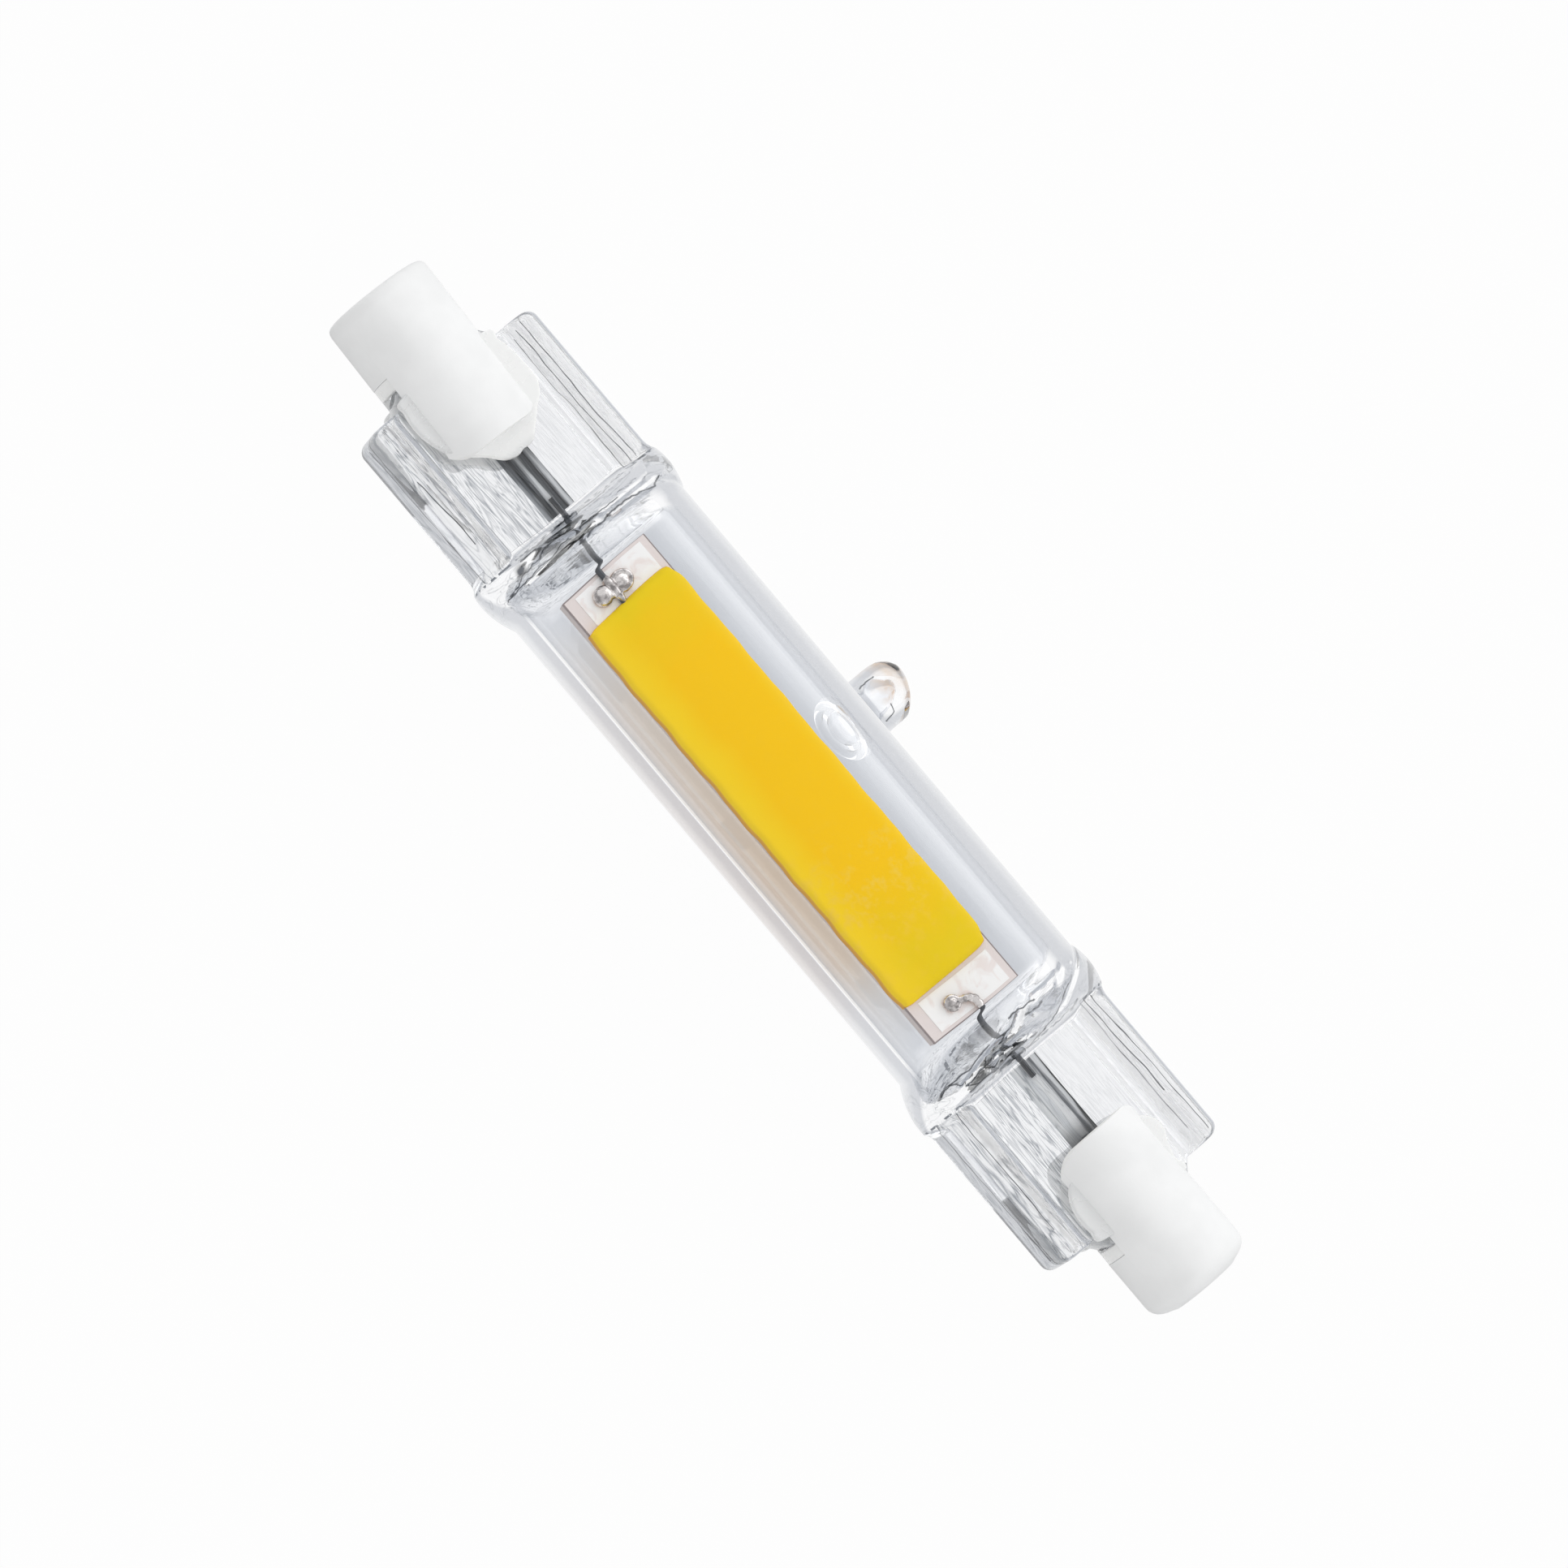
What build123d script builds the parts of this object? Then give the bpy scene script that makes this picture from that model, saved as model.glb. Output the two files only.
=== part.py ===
from build123d import *
from math import asin, cos, degrees, pi, radians, sin, sqrt, tan
import os

# A double-ended glass LED lamp, in millimetres. X runs along the lamp, Z is up.
# It is modelled with its pressed seals level, then rolled about X until it lies on
# its tube and its exhaust tip, as it does on a table.

# Whole lamp
overall_length = 78.3  # over both ceramic caps
tube_diameter = 13.4
tube_wall = 1.0

# Shoulders, where the hot tube was pressed flat
shoulder_length = 3.4
shoulder_bulge = 0.8  # how far the sides stand proud of the tube
shoulder_end_thickness = 6.4
shoulder_stations = (0, 0.35, 0.6, 0.8, 1)  # shares of its length where a section stands
bulge_sweep = 112.0  # degrees of a sine wave, past its top so that the bulge falls off again
end_wall = 2.0  # glass between the hollow and the end of the shoulder
hollow_dome_length = 2.0
hollow_end_thickness = 2.8
hollow_end_narrowing = 0.6
hollow_stations = (0, 0.5, 0.8, 1)

# Pressed seal: a thin web between two thick rails
seal_length = 11.2
cheek_gap = 1.38  # between a rail and the cap's cheek beside it
web_thickness = 3.0
rail_width = 2.0
rail_proud = 0.9  # above the web, on each face
rail_round = 0.9
rail_root_round = 0.4
rail_end_round = 0.9
tongue_length = 1.6  # the web runs on past the rails into the cap
tongue_root_lap = 0.25  # how far its root reaches out behind the rails' ends
tongue_end_width = 5.4
tongue_round = 0.6

# Exhaust tip, sealed off at the side of the tube
tip_x = -0.7
tip_diameter = 4.0
tip_height = 4.4  # beyond the tube
tip_root_depth = 0.7  # how far its root is sunk into the tube's wall
tip_bore = 2.0
tip_end_wall = 1.6
tip_flare = 0.75
tip_flare_height = 0.6
tip_flare_waist = (0.3, 0.45)  # shares of the flare's width and height at the middle of its curve
tip_below_web = 11.0  # degrees behind the plane of the seals

# Ceramic cap
cap_diameter = 7.3
cap_length = 11.6
cap_overlap = 5.0  # how far the cap reaches over the rails' end
cap_edge = 0.5  # bevel round the free end
cap_corner_round = 1.8
recess_diameter = 4.0
recess_depth = 1.7
recess_edge = 0.2

# Cement between the cap and the web
cement_gap = 0.12
cement_end_gap = 0.3
cement_height = 0.5  # how high the bead stands on the web
cement_round = 0.8
cement_inset = 0.3  # how far it stays back from the open sides of the slot
cement_run_out = 0.2  # how far the bead runs past the rails' end
cement_lip_start = 1.6  # from the cap's inner end
cement_nose_start = 0.1  # before the cap's inner end
cement_nose_step = 1.23  # how much narrower the nose is than the cheeks

# Contact button, flush with the recess's floor in a seat of its own
button_diameter = 3.5
button_height = 0.25
button_edge = 0.06
button_clearance = 0.05
stem_diameter = 1.3
stem_length = 1.3
stem_end_wall = 0.4

# Foils and leads
lead_diameter = 0.4
outer_lead_diameter = 0.5
weld_depth = 0.03  # how far a wire is flattened where it is joined
foil_width = 2.1
foil_length = 6.9
foil_thickness = 0.1
foil_start = 0.35  # from the end of the shoulder
weld_length = 1.1
bend_radius = 0.4
jog_start = 0.7  # inside the end of the hollow, where the inner lead steps sideways
jog_length = 0.6
lead_lap = 0.35  # how far the left lead reaches over the phosphor
hook_length = 0.45
outer_lead_straight = 1.5  # past the foil
outer_lead_cross = 1.8  # length over which it crosses to the cap's axis

# Board and what it carries
board_end_gap = 1.65  # to the end of the hollow
board_width = 7.0
board_thickness = 1.0
board_shift = -0.07
pad_zone = 2.6  # bare length at each end
pad_margin = 0.3
pad_width = 5.6
pad_shift = 0.12
pad_thickness = 0.04
phosphor_side = 0.35
phosphor_crown = 0.35
phosphor_lip = 0.18
phosphor_lip_drop = 0.3
phosphor_corner = 0.5
die_size = (0.8, 0.45, 0.12)
die_pitch = 1.8
die_row_pitch = 2.4
die_rows = 2
die_end_margin = 1.2

# Solder, placed from the end of the board: inward, across, and its length, width and height
left_lobes = [((1.35, 0.3), (1.2, 1.2, 0.45)), ((1.4, -1.3), (1.15, 1.4, 0.5)), ((1.3, -0.5), (1.5, 1.2, 0.42))]
right_bead = (1.33, -1.13)
right_bead_size = (1.15, 1.15, 0.42)
lobe_sections = [(0, 1.0), (0.6, 0.82), (1, 0.35)]  # share of the height, share of the width
solder_arm_diameter = 0.62
solder_arm_length = 0.75

# Parts on the back of the board
rectifier_body = (4.7, 3.9, 1.5)
rectifier_leg = (0.9, 0.6, 0.2)
rectifier_leg_pitch = 2.5
driver_body = (2.5, 4.4, 1.5)
driver_leg = (0.8, 0.4, 0.2)
driver_leg_pitch = 1.5
leg_bury = 0.2  # how far a leg runs into its body
resistor_body = (3.2, 1.6, 0.55)
resistor_cap = (0.5, 0.04)
resistor_gap = 2.6
body_chamfer = 0.2

past = 1.0  # how far a cutting form runs past what it cuts

# Each end as it was made: the seal sits a little off the axis and a cap may lean
ends = {
    "left": dict(side=-1, seal_shift=-0.13, cap_shift=-0.53, cap_lean=2.4, lead_y=0.0, jog_y=-0.52,
                 cement_nose=1.35, cement_lips=(0.35, 1.15)),
    "right": dict(side=1, seal_shift=-0.45, cap_shift=-0.45, cap_lean=0.0, lead_y=-0.32, jog_y=0.21,
                  cement_nose=0.3, cement_lips=(0.45, 0.4)),
}

# Places that follow from the sizes, measured outwards from the middle of the lamp
tube_radius = tube_diameter / 2
hollow_radius = tube_radius - tube_wall
tip_reach = tube_radius + tip_height
cap_radius = cap_diameter / 2
cap_inner_x = overall_length / 2 - cap_length
rail_end_x = cap_inner_x + cap_overlap
tongue_end_x = rail_end_x + tongue_length
shoulder_end_x = rail_end_x - seal_length
tube_end_x = shoulder_end_x - shoulder_length
hollow_end_x = shoulder_end_x - end_wall
board_end_x = hollow_end_x - board_end_gap
phosphor_end_x = board_end_x - pad_zone
slot_floor_x = tongue_end_x + cement_end_gap
slot_half = web_thickness / 2 + cement_gap
cheek_half_width = sqrt(cap_radius**2 - slot_half**2)
rail_inner_y = cheek_half_width + cheek_gap
rail_thickness = web_thickness + 2 * rail_proud
seal_width = 2 * (rail_inner_y + rail_width)
tongue_root_width = 2 * (rail_inner_y + tongue_root_lap)
recess_floor_x = overall_length / 2 - recess_depth
foil_start_x = shoulder_end_x + foil_start
foil_end_x = foil_start_x + foil_length
foil_top = weld_depth - lead_diameter / 2
outer_lead_rise = (outer_lead_diameter - lead_diameter) / 2
pad_top = weld_depth - lead_diameter / 2
board_top = pad_top - pad_thickness
board_bottom = board_top - board_thickness


def across(x, y=0.0, z=0.0):
    # A plane square to the lamp, its own x along Y and its own y along Z
    return Plane(origin=(x, y, z), x_dir=(0, 1, 0), z_dir=(1, 0, 0))


def lengthwise_box(x0, x1, y0, y1, z0, z1):
    return Pos((x0 + x1) / 2, (y0 + y1) / 2, (z0 + z1) / 2) * Box(x1 - x0, y1 - y0, z1 - z0)


def put(shape, end):
    # Every end is built towards +X and the left one is mirrored
    return mirror(shape, about=Plane.YZ) if end["side"] < 0 else shape


def ease(t):
    return 1 - cos(pi * t / 2)


def bent_line(points, radius):
    # Straight runs whose corners are cut off where an arc of the bend's radius would touch them
    places = [Vector(*point) for point in points]
    line = [places[0]]
    for before, corner, after in zip(places, places[1:], places[2:]):
        back, onward = (before - corner).normalized(), (after - corner).normalized()
        cut = radius / tan(radians(back.get_angle(onward)) / 2)
        line += [corner + back * cut, corner + onward * cut]
    return line + [places[-1]]


def wire(points, diameter, radius=0.0):
    # A round wire along straight runs, mitred at its corners
    path = Polyline(*bent_line(points, radius)) if radius else Polyline(*points)
    start = Plane(origin=path @ 0, z_dir=path % 0)
    return sweep(start * Circle(diameter / 2), path=path, transition=Transition.RIGHT)


def shoulder(end):
    sections = []
    for t in shoulder_stations:
        half_width = tube_radius + shoulder_bulge * sin(radians(bulge_sweep) * t)
        half_thickness = tube_radius + (shoulder_end_thickness / 2 - tube_radius) * ease(t)
        place = across(tube_end_x + shoulder_length * t, end["seal_shift"] * t)
        sections.append(place * Ellipse(half_width, half_thickness))
    return loft(sections, ruled=True)


def hollow_end(end):
    sections = []
    for t in hollow_stations:
        half_width = hollow_radius - hollow_end_narrowing * ease(t)
        half_thickness = hollow_radius + (hollow_end_thickness / 2 - hollow_radius) * ease(t)
        x = hollow_end_x - hollow_dome_length * (1 - t)
        sections.append(across(x, end["seal_shift"] * t) * Ellipse(half_width, half_thickness))
    return loft(sections, ruled=True)


def seal(end):
    rail_y = (seal_width - rail_width) / 2
    section = Rectangle(2 * rail_y, web_thickness)
    for y in (-rail_y, rail_y):
        section += Pos(y, 0) * RectangleRounded(rail_width, rail_thickness, rail_round)
    roots = [v for v in section.vertices() if abs(abs(v.Y) - web_thickness / 2) < 1e-3 and abs(v.X) < rail_y]
    section = fillet(roots, rail_root_round)
    start_x = shoulder_end_x - end_wall / 2
    bar = extrude(across(start_x, end["seal_shift"]) * section, tongue_end_x - start_x)
    half = seal_width / 2
    outline = Polyline(
        (start_x, -half), (rail_end_x, -half), (rail_end_x, -tongue_root_width / 2),
        (tongue_end_x, -tongue_end_width / 2), (tongue_end_x, tongue_end_width / 2),
        (rail_end_x, tongue_root_width / 2), (rail_end_x, half), (start_x, half), close=True,
    )
    plan = make_face(outline)
    outer = [v for v in plan.vertices() if abs(abs(v.Y) - half) < 1e-3 and v.X > start_x + past]
    plan = fillet(outer, rail_end_round)
    inner = [v for v in plan.vertices() if abs(v.Y) < tongue_root_width / 2 + 1e-3 and v.X > start_x + past]
    plan = fillet(inner, tongue_round)
    return bar & extrude(Pos(0, end["seal_shift"]) * plan, rail_thickness, both=True)


def tip_place():
    # Looks outwards from the lamp's axis along the exhaust tip
    angle = radians(-tip_below_web)
    return Plane(origin=(tip_x, 0, 0), x_dir=(1, 0, 0), z_dir=(0, cos(angle), sin(angle)))


def exhaust_tip():
    r = tip_diameter / 2
    root = tube_radius - tip_root_depth
    neck = tube_radius + tip_flare_height
    dome = tip_reach - r
    waist = (r + tip_flare * tip_flare_waist[0], root + (neck - root) * tip_flare_waist[1])
    profile = Curve() + [
        Polyline((0, root), (r + tip_flare, root), waist, (r, neck), (r, dome)),
        CenterArc((0, dome), r, 0, 90),
        Line((0, dome + r), (0, root)),
    ]
    return tip_place() * revolve(Plane.XZ * make_face(profile), Axis.Z)


def tip_hollow():
    r = tip_bore / 2
    top = tip_reach - tip_end_wall
    outline = Polyline((0, hollow_radius - r), (r, hollow_radius - r), (r, top - 2 * r), (0, top), close=True)
    return tip_place() * revolve(Plane.XZ * make_face(outline), Axis.Z)


def seal_foil(end):
    y = end["lead_y"]
    return lengthwise_box(foil_start_x, foil_end_x, y - foil_width / 2, y + foil_width / 2,
                          foil_top - foil_thickness, foil_top)


def bead_place():
    return (board_end_x - right_bead[0], right_bead[1])


def inner_lead(end):
    # The wire jogs sideways in the hollow; the right one hooks down to its bead
    jog_x = hollow_end_x - jog_start
    points = [(foil_start_x + weld_length, end["lead_y"]), (jog_x, end["lead_y"]),
              (jog_x - jog_length, end["jog_y"])]
    if end["side"] < 0:
        points.append((phosphor_end_x - lead_lap, end["jog_y"]))
    else:
        points += [(bead_place()[0] + hook_length, end["jog_y"]), bead_place()]
    return wire(points, lead_diameter, bend_radius)


def cap_place(end):
    # Stands at the inner end of the cap and looks outwards along it
    return Location((cap_inner_x, end["cap_shift"], 0), (0, 0, end["cap_lean"]))


def on_cap_axis(end, x):
    point = cap_place(end) * Pos(x - cap_inner_x, 0, 0)
    return (point.position.X, point.position.Y)


def outer_lead(end):
    bend_x = foil_end_x + outer_lead_straight
    stop_x = recess_floor_x - stem_end_wall
    points = [(foil_end_x - weld_length, end["lead_y"]), (bend_x, end["lead_y"]),
              on_cap_axis(end, bend_x + outer_lead_cross), on_cap_axis(end, stop_x)]
    return Pos(0, 0, outer_lead_rise) * wire(points, outer_lead_diameter)


def on_cap(end, shape):
    return cap_place(end) * Pos(-cap_inner_x, 0, 0) * shape


def cap_bore(diameter, start_x, end_x, rise=0.0):
    return extrude(across(start_x, 0, rise) * Circle(diameter / 2), end_x - start_x)


def ceramic_cap(end):
    body = extrude(across(cap_inner_x) * Circle(cap_radius), cap_length)
    body = chamfer(body.faces().sort_by(Axis.X)[-1].edges(), cap_edge)
    plan = Pos(cap_inner_x + cap_length, 0) * RectangleRounded(2 * cap_length, cap_diameter, cap_corner_round)
    body &= extrude(plan, cap_radius, both=True)
    wide = cap_radius + past
    body -= lengthwise_box(cap_inner_x - past, slot_floor_x, -wide, wide, -slot_half, slot_half)
    seat_x = recess_floor_x - button_height
    body -= cap_bore(stem_diameter + 2 * button_clearance, slot_floor_x - past, recess_floor_x, outer_lead_rise)
    body -= cap_bore(button_diameter + 2 * button_clearance, seat_x, recess_floor_x + past)
    body -= cap_bore(recess_diameter, recess_floor_x, recess_floor_x + recess_depth + past)
    mouth = [e for e in body.faces().sort_by(Axis.X)[-1].edges() if e.radius < recess_diameter / 2 + 0.01]
    return on_cap(end, chamfer(mouth, recess_edge))


def contact_button(end):
    seat_x = recess_floor_x - button_height
    head = cap_bore(button_diameter, seat_x, recess_floor_x)
    head = chamfer(head.faces().sort_by(Axis.X)[-1].edges(), button_edge)
    stem = cap_bore(stem_diameter, seat_x - stem_length, recess_floor_x - button_height / 2, outer_lead_rise)
    return on_cap(end, head + stem)


def cap_cement(end):
    upper = cheek_half_width + end["cement_lips"][0]
    lower = cheek_half_width + end["cement_lips"][1]
    inside = cheek_half_width - cement_inset
    nose = cap_inner_x - end["cement_nose"]
    bead_end = rail_end_x + cement_run_out
    lip_x = cap_inner_x + cement_lip_start
    nose_x, nose_y = cap_inner_x - cement_nose_start, cheek_half_width - cement_nose_step
    outline = Polyline(
        (slot_floor_x, -inside), (bead_end, -inside), (bead_end, -lower), (lip_x, -lower),
        (nose_x, -nose_y), (nose, 0), (nose_x, nose_y), (lip_x, upper), (bead_end, upper),
        (bead_end, inside), (slot_floor_x, inside), close=True,
    )
    plan = make_face(outline)
    soft = [v for v in plan.vertices() if v.X < lip_x + 1e-3]
    plan = fillet(soft, cement_round)
    return on_cap(end, extrude(plan, web_thickness / 2 + cement_height, both=True))


def solder_pad(end):
    x = board_end_x - pad_margin
    y = board_shift + pad_shift
    return lengthwise_box(phosphor_end_x, x, y - pad_width / 2, y + pad_width / 2, board_top, pad_top)


def solder_lobe(place, size):
    # A low drop of solder on its pad
    length, width, height = size
    sections = []
    for up, share in lobe_sections:
        oval = Ellipse(length / 2 * share, width / 2 * share)
        sections.append(Pos(board_end_x - place[0], place[1], pad_top + height * up) * oval)
    return loft(sections, ruled=True)


def solder_joint(end):
    if end["side"] < 0:
        return solder_lobe(*left_lobes[0]) + [solder_lobe(*lobe) for lobe in left_lobes[1:]]
    bead_x, bead_y = bead_place()
    arm_x = bead_x + hook_length
    path = [(arm_x + solder_arm_length, end["jog_y"]), (arm_x, end["jog_y"]), (bead_x, bead_y)]
    joint = solder_lobe(right_bead, right_bead_size) + wire(path, solder_arm_diameter)
    above = lengthwise_box(0, board_end_x - pad_margin, -board_width, board_width,
                           pad_top, pad_top + solder_arm_diameter)
    return joint & above


def substrate():
    half = board_width / 2
    return lengthwise_box(-board_end_x, board_end_x, board_shift - half, board_shift + half,
                          board_bottom, board_top)


def phosphor():
    # A crowned strip that laps over both long edges of the board
    half = board_width / 2 + phosphor_lip
    side_top = board_top + phosphor_side
    section = make_face(Curve() + [
        Polyline((-half, side_top), (-half, board_top - phosphor_lip_drop),
                 (half, board_top - phosphor_lip_drop), (half, side_top)),
        ThreePointArc((half, side_top), (0, side_top + phosphor_crown), (-half, side_top)),
    ])
    bar = extrude(across(-phosphor_end_x, board_shift) * section, 2 * phosphor_end_x)
    plan = Pos(0, board_shift) * RectangleRounded(2 * phosphor_end_x, 2 * half, phosphor_corner)
    return bar & extrude(plan, board_thickness + past, both=True)


def led_dies():
    run = 2 * (phosphor_end_x - die_end_margin) - die_size[0]
    count = int(run / die_pitch) + 1
    dies = []
    for row in range(die_rows):
        y = board_shift + (row - (die_rows - 1) / 2) * die_row_pitch
        for i in range(count):
            x = (i - (count - 1) / 2) * die_pitch
            dies.append(Pos(x, y, board_top + die_size[2] / 2) * Box(*die_size))
    return dies


def packaged_part(body, leg, leg_pitch, legs_per_side, x):
    # A moulded body with flat feet, hanging under the board
    length, width, height = body
    case = Pos(x, board_shift, board_bottom - height / 2) * Box(length, width, height)
    case = chamfer(case.faces().sort_by(Axis.Z)[0].edges(), body_chamfer)
    for side in (-1, 1):
        for i in range(legs_per_side):
            y = board_shift + (i - (legs_per_side - 1) / 2) * leg_pitch
            foot_x = x + side * (length / 2 + (leg[0] - leg_bury) / 2)
            case += Pos(foot_x, y, board_bottom - leg[2] / 2) * Box(leg[0] + leg_bury, leg[1], leg[2])
    return case


def chip_resistor(x, y):
    length, width, height = resistor_body
    chip = Pos(x, y, board_bottom - height / 2) * Box(length, width, height)
    cap_length_x, proud = resistor_cap
    for side in (-1, 1):
        cap_x = x + side * (length - cap_length_x) / 2
        cap = Box(cap_length_x, width, height + proud)
        chip += Pos(cap_x, y, board_bottom - (height + proud) / 2) * cap
    return chip


def back_places():
    # Five places evenly spaced along the board's back
    step = 2 * board_end_x / 5
    return [(i - 2) * step for i in range(5)]


def glass(metal):
    body = extrude(across(-tube_end_x) * Circle(tube_radius), 2 * tube_end_x)
    hollow_x = hollow_end_x - hollow_dome_length
    hollow = extrude(across(-hollow_x) * Circle(hollow_radius), 2 * hollow_x)
    for end in ends.values():
        body += put(shoulder(end) + seal(end), end)
        hollow += put(hollow_end(end), end)
    body += exhaust_tip()
    body -= hollow
    body -= tip_hollow()
    for piece in metal:
        body -= piece
    return body


def build():
    nodes = {}
    metal = []
    for name, end in ends.items():
        foil = seal_foil(end)
        nodes["seal_foil_" + name] = put(foil, end)
        nodes["inner_lead_" + name] = put(inner_lead(end) - foil - solder_pad(end), end)
        nodes["outer_lead_" + name] = put(outer_lead(end) - foil, end)
        metal += [nodes[kind + name] for kind in ("seal_foil_", "inner_lead_", "outer_lead_")]
    nodes["glass_envelope"] = glass(metal)
    for name, end in ends.items():
        foil, lead = nodes["seal_foil_" + name], nodes["outer_lead_" + name]
        cap = put(ceramic_cap(end), end)
        nodes["ceramic_cap_" + name] = cap
        nodes["contact_button_" + name] = put(contact_button(end), end) - lead
        cement = put(cap_cement(end), end) - cap - nodes["glass_envelope"] - foil - lead
        nodes["cap_cement_" + name] = cement
        nodes["solder_pad_" + name] = put(solder_pad(end), end)
    dies = led_dies()
    nodes["led_dies"] = Compound(children=[d.solid() for d in dies])
    nodes["cob_substrate"] = substrate()
    layer = phosphor() - nodes["cob_substrate"]
    for piece in dies + [nodes["inner_lead_left"], nodes["inner_lead_right"]]:
        layer -= piece
    nodes["phosphor_layer"] = layer
    for name, end in ends.items():
        joint = put(solder_joint(end), end) - nodes["inner_lead_" + name] - nodes["phosphor_layer"]
        nodes["solder_joint_" + name] = joint
    x = back_places()
    nodes["bridge_rectifier"] = packaged_part(rectifier_body, rectifier_leg, rectifier_leg_pitch, 2, x[0])
    drivers = [packaged_part(driver_body, driver_leg, driver_leg_pitch, 3, x[i]) for i in (2, 4)]
    nodes["driver_ics"] = Compound(children=[d.solid() for d in drivers])
    chips = [chip_resistor(x[i], board_shift + s * resistor_gap / 2) for i in (1, 3) for s in (-1, 1)]
    nodes["chip_resistors"] = Compound(children=[c.solid() for c in chips])
    return nodes


def resting_place(nodes):
    # Rolls the lamp until tube and tip touch the table, with the origin under its middle
    tip_radius = tip_diameter / 2
    tip_angle = degrees(asin((tube_radius - tip_radius) / (tip_reach - tip_radius)))
    roll = Rot(tip_below_web - tip_angle, 0, 0)
    solids = [roll * solid for shape in nodes.values() for solid in shape.solids()]
    box = Compound(children=solids).bounding_box()
    centre = box.center()
    return Pos(-centre.X, -centre.Y, -box.min.Z) * roll


nodes = build()
place = resting_place(nodes)
os.makedirs("parts", exist_ok=True)
for name, shape in nodes.items():
    export_step(place * shape, "parts/" + name + ".step")
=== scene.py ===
import math
from functools import partial
import bpy
from mathutils import Matrix, Vector


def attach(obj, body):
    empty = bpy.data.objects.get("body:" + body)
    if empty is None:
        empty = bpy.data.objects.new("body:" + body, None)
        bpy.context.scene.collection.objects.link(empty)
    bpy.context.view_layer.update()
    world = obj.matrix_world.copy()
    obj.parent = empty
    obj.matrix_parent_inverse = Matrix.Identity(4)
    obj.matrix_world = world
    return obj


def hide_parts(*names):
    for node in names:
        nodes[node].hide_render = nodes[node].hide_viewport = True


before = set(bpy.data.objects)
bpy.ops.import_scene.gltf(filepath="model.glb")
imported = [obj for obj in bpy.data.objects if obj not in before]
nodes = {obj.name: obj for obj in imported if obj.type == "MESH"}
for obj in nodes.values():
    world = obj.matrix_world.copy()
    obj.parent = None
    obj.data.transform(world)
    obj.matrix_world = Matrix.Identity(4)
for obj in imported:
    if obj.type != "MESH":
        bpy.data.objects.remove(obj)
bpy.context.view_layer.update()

# The lamp's own frame, where its pieces are modelled in millimetres: x along the lamp, y across it in the plane of
# its pressed seals towards the exhaust tip, z square to the seals on the side of the LED strip.
lamp = {"centre": (0.0609, -1.1294, 6.7), "roll": -20.0967, "tubeRadius": 6.7, "hollowRadius": 5.7}
mm = 0.001
deg = math.pi / 180


def deselect():
    if bpy.context.mode != "OBJECT":
        bpy.ops.object.mode_set(mode="OBJECT")
    bpy.ops.object.select_all(action="DESELECT")


def pick(*pieces):
    # selects the pieces, the first of them active
    deselect()
    for piece in pieces:
        piece.select_set(True)
    bpy.context.view_layer.objects.active = pieces[0]


def settle(piece):
    pick(piece)
    bpy.ops.object.transform_apply(location=True, rotation=True, scale=True)


def shaped(scale=(1, 1, 1)):
    # the shape that was just added, stretched by its scale
    piece = bpy.context.active_object
    piece.scale = scale
    settle(piece)
    return piece


def editAll(piece):
    pick(piece)
    bpy.ops.object.mode_set(mode="EDIT")
    bpy.ops.mesh.select_all(action="SELECT")


def joinAll(pieces, name):
    pick(*pieces)
    bpy.ops.object.join()
    pieces[0].name = name
    return pieces[0]


def useModifier(piece, kind, **settings):
    pick(piece)
    step = piece.modifiers.new("step", kind)
    for name, value in settings.items():
        setattr(step, name, value)
    bpy.ops.object.modifier_apply(modifier=step.name)


def useBoolean(piece, other, operation):
    useModifier(piece, "BOOLEAN", operation=operation, solver="EXACT", object=other)
    bpy.data.objects.remove(other)


def selectVertices(piece, test):
    # goes into edit mode with the vertices selected whose place passes the test
    pick(piece)
    bpy.ops.object.mode_set(mode="EDIT")
    bpy.ops.mesh.select_mode(type="VERT")
    bpy.ops.mesh.select_all(action="DESELECT")
    bpy.ops.object.mode_set(mode="OBJECT")
    for vertex in piece.data.vertices:
        vertex.select = test(vertex.co)
    bpy.ops.object.mode_set(mode="EDIT")


def faceOut(piece):
    editAll(piece)
    bpy.ops.mesh.normals_make_consistent(inside=False)
    bpy.ops.object.mode_set(mode="OBJECT")


def drawOut(piece, shift):
    # makes a flat piece solid
    editAll(piece)
    bpy.ops.mesh.extrude_region_move(TRANSFORM_OT_translate={"value": shift})
    bpy.ops.object.mode_set(mode="OBJECT")
    faceOut(piece)


def turnFromDisc(name, stations, ring, place):
    # a disc drawn up ring by ring and widened or narrowed at each: stations of height, radius, and shift sideways
    deselect()
    height, radius, shift = stations[0]
    bpy.ops.mesh.primitive_circle_add(vertices=ring, radius=radius, fill_type="NGON", location=(shift, 0, height))
    piece = shaped()
    piece.name = name
    editAll(piece)
    for nextHeight, nextRadius, nextShift in stations[1:]:
        bpy.ops.mesh.extrude_region_move(TRANSFORM_OT_translate={
            "value": (nextShift - shift, 0, nextHeight - height)})
        bpy.ops.transform.resize(value=(nextRadius / radius,) * 3, center_override=(nextShift, 0, nextHeight))
        height, radius, shift = nextHeight, nextRadius, nextShift
    bpy.ops.object.mode_set(mode="OBJECT")
    faceOut(piece)
    piece.data.transform(place)
    return piece


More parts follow.
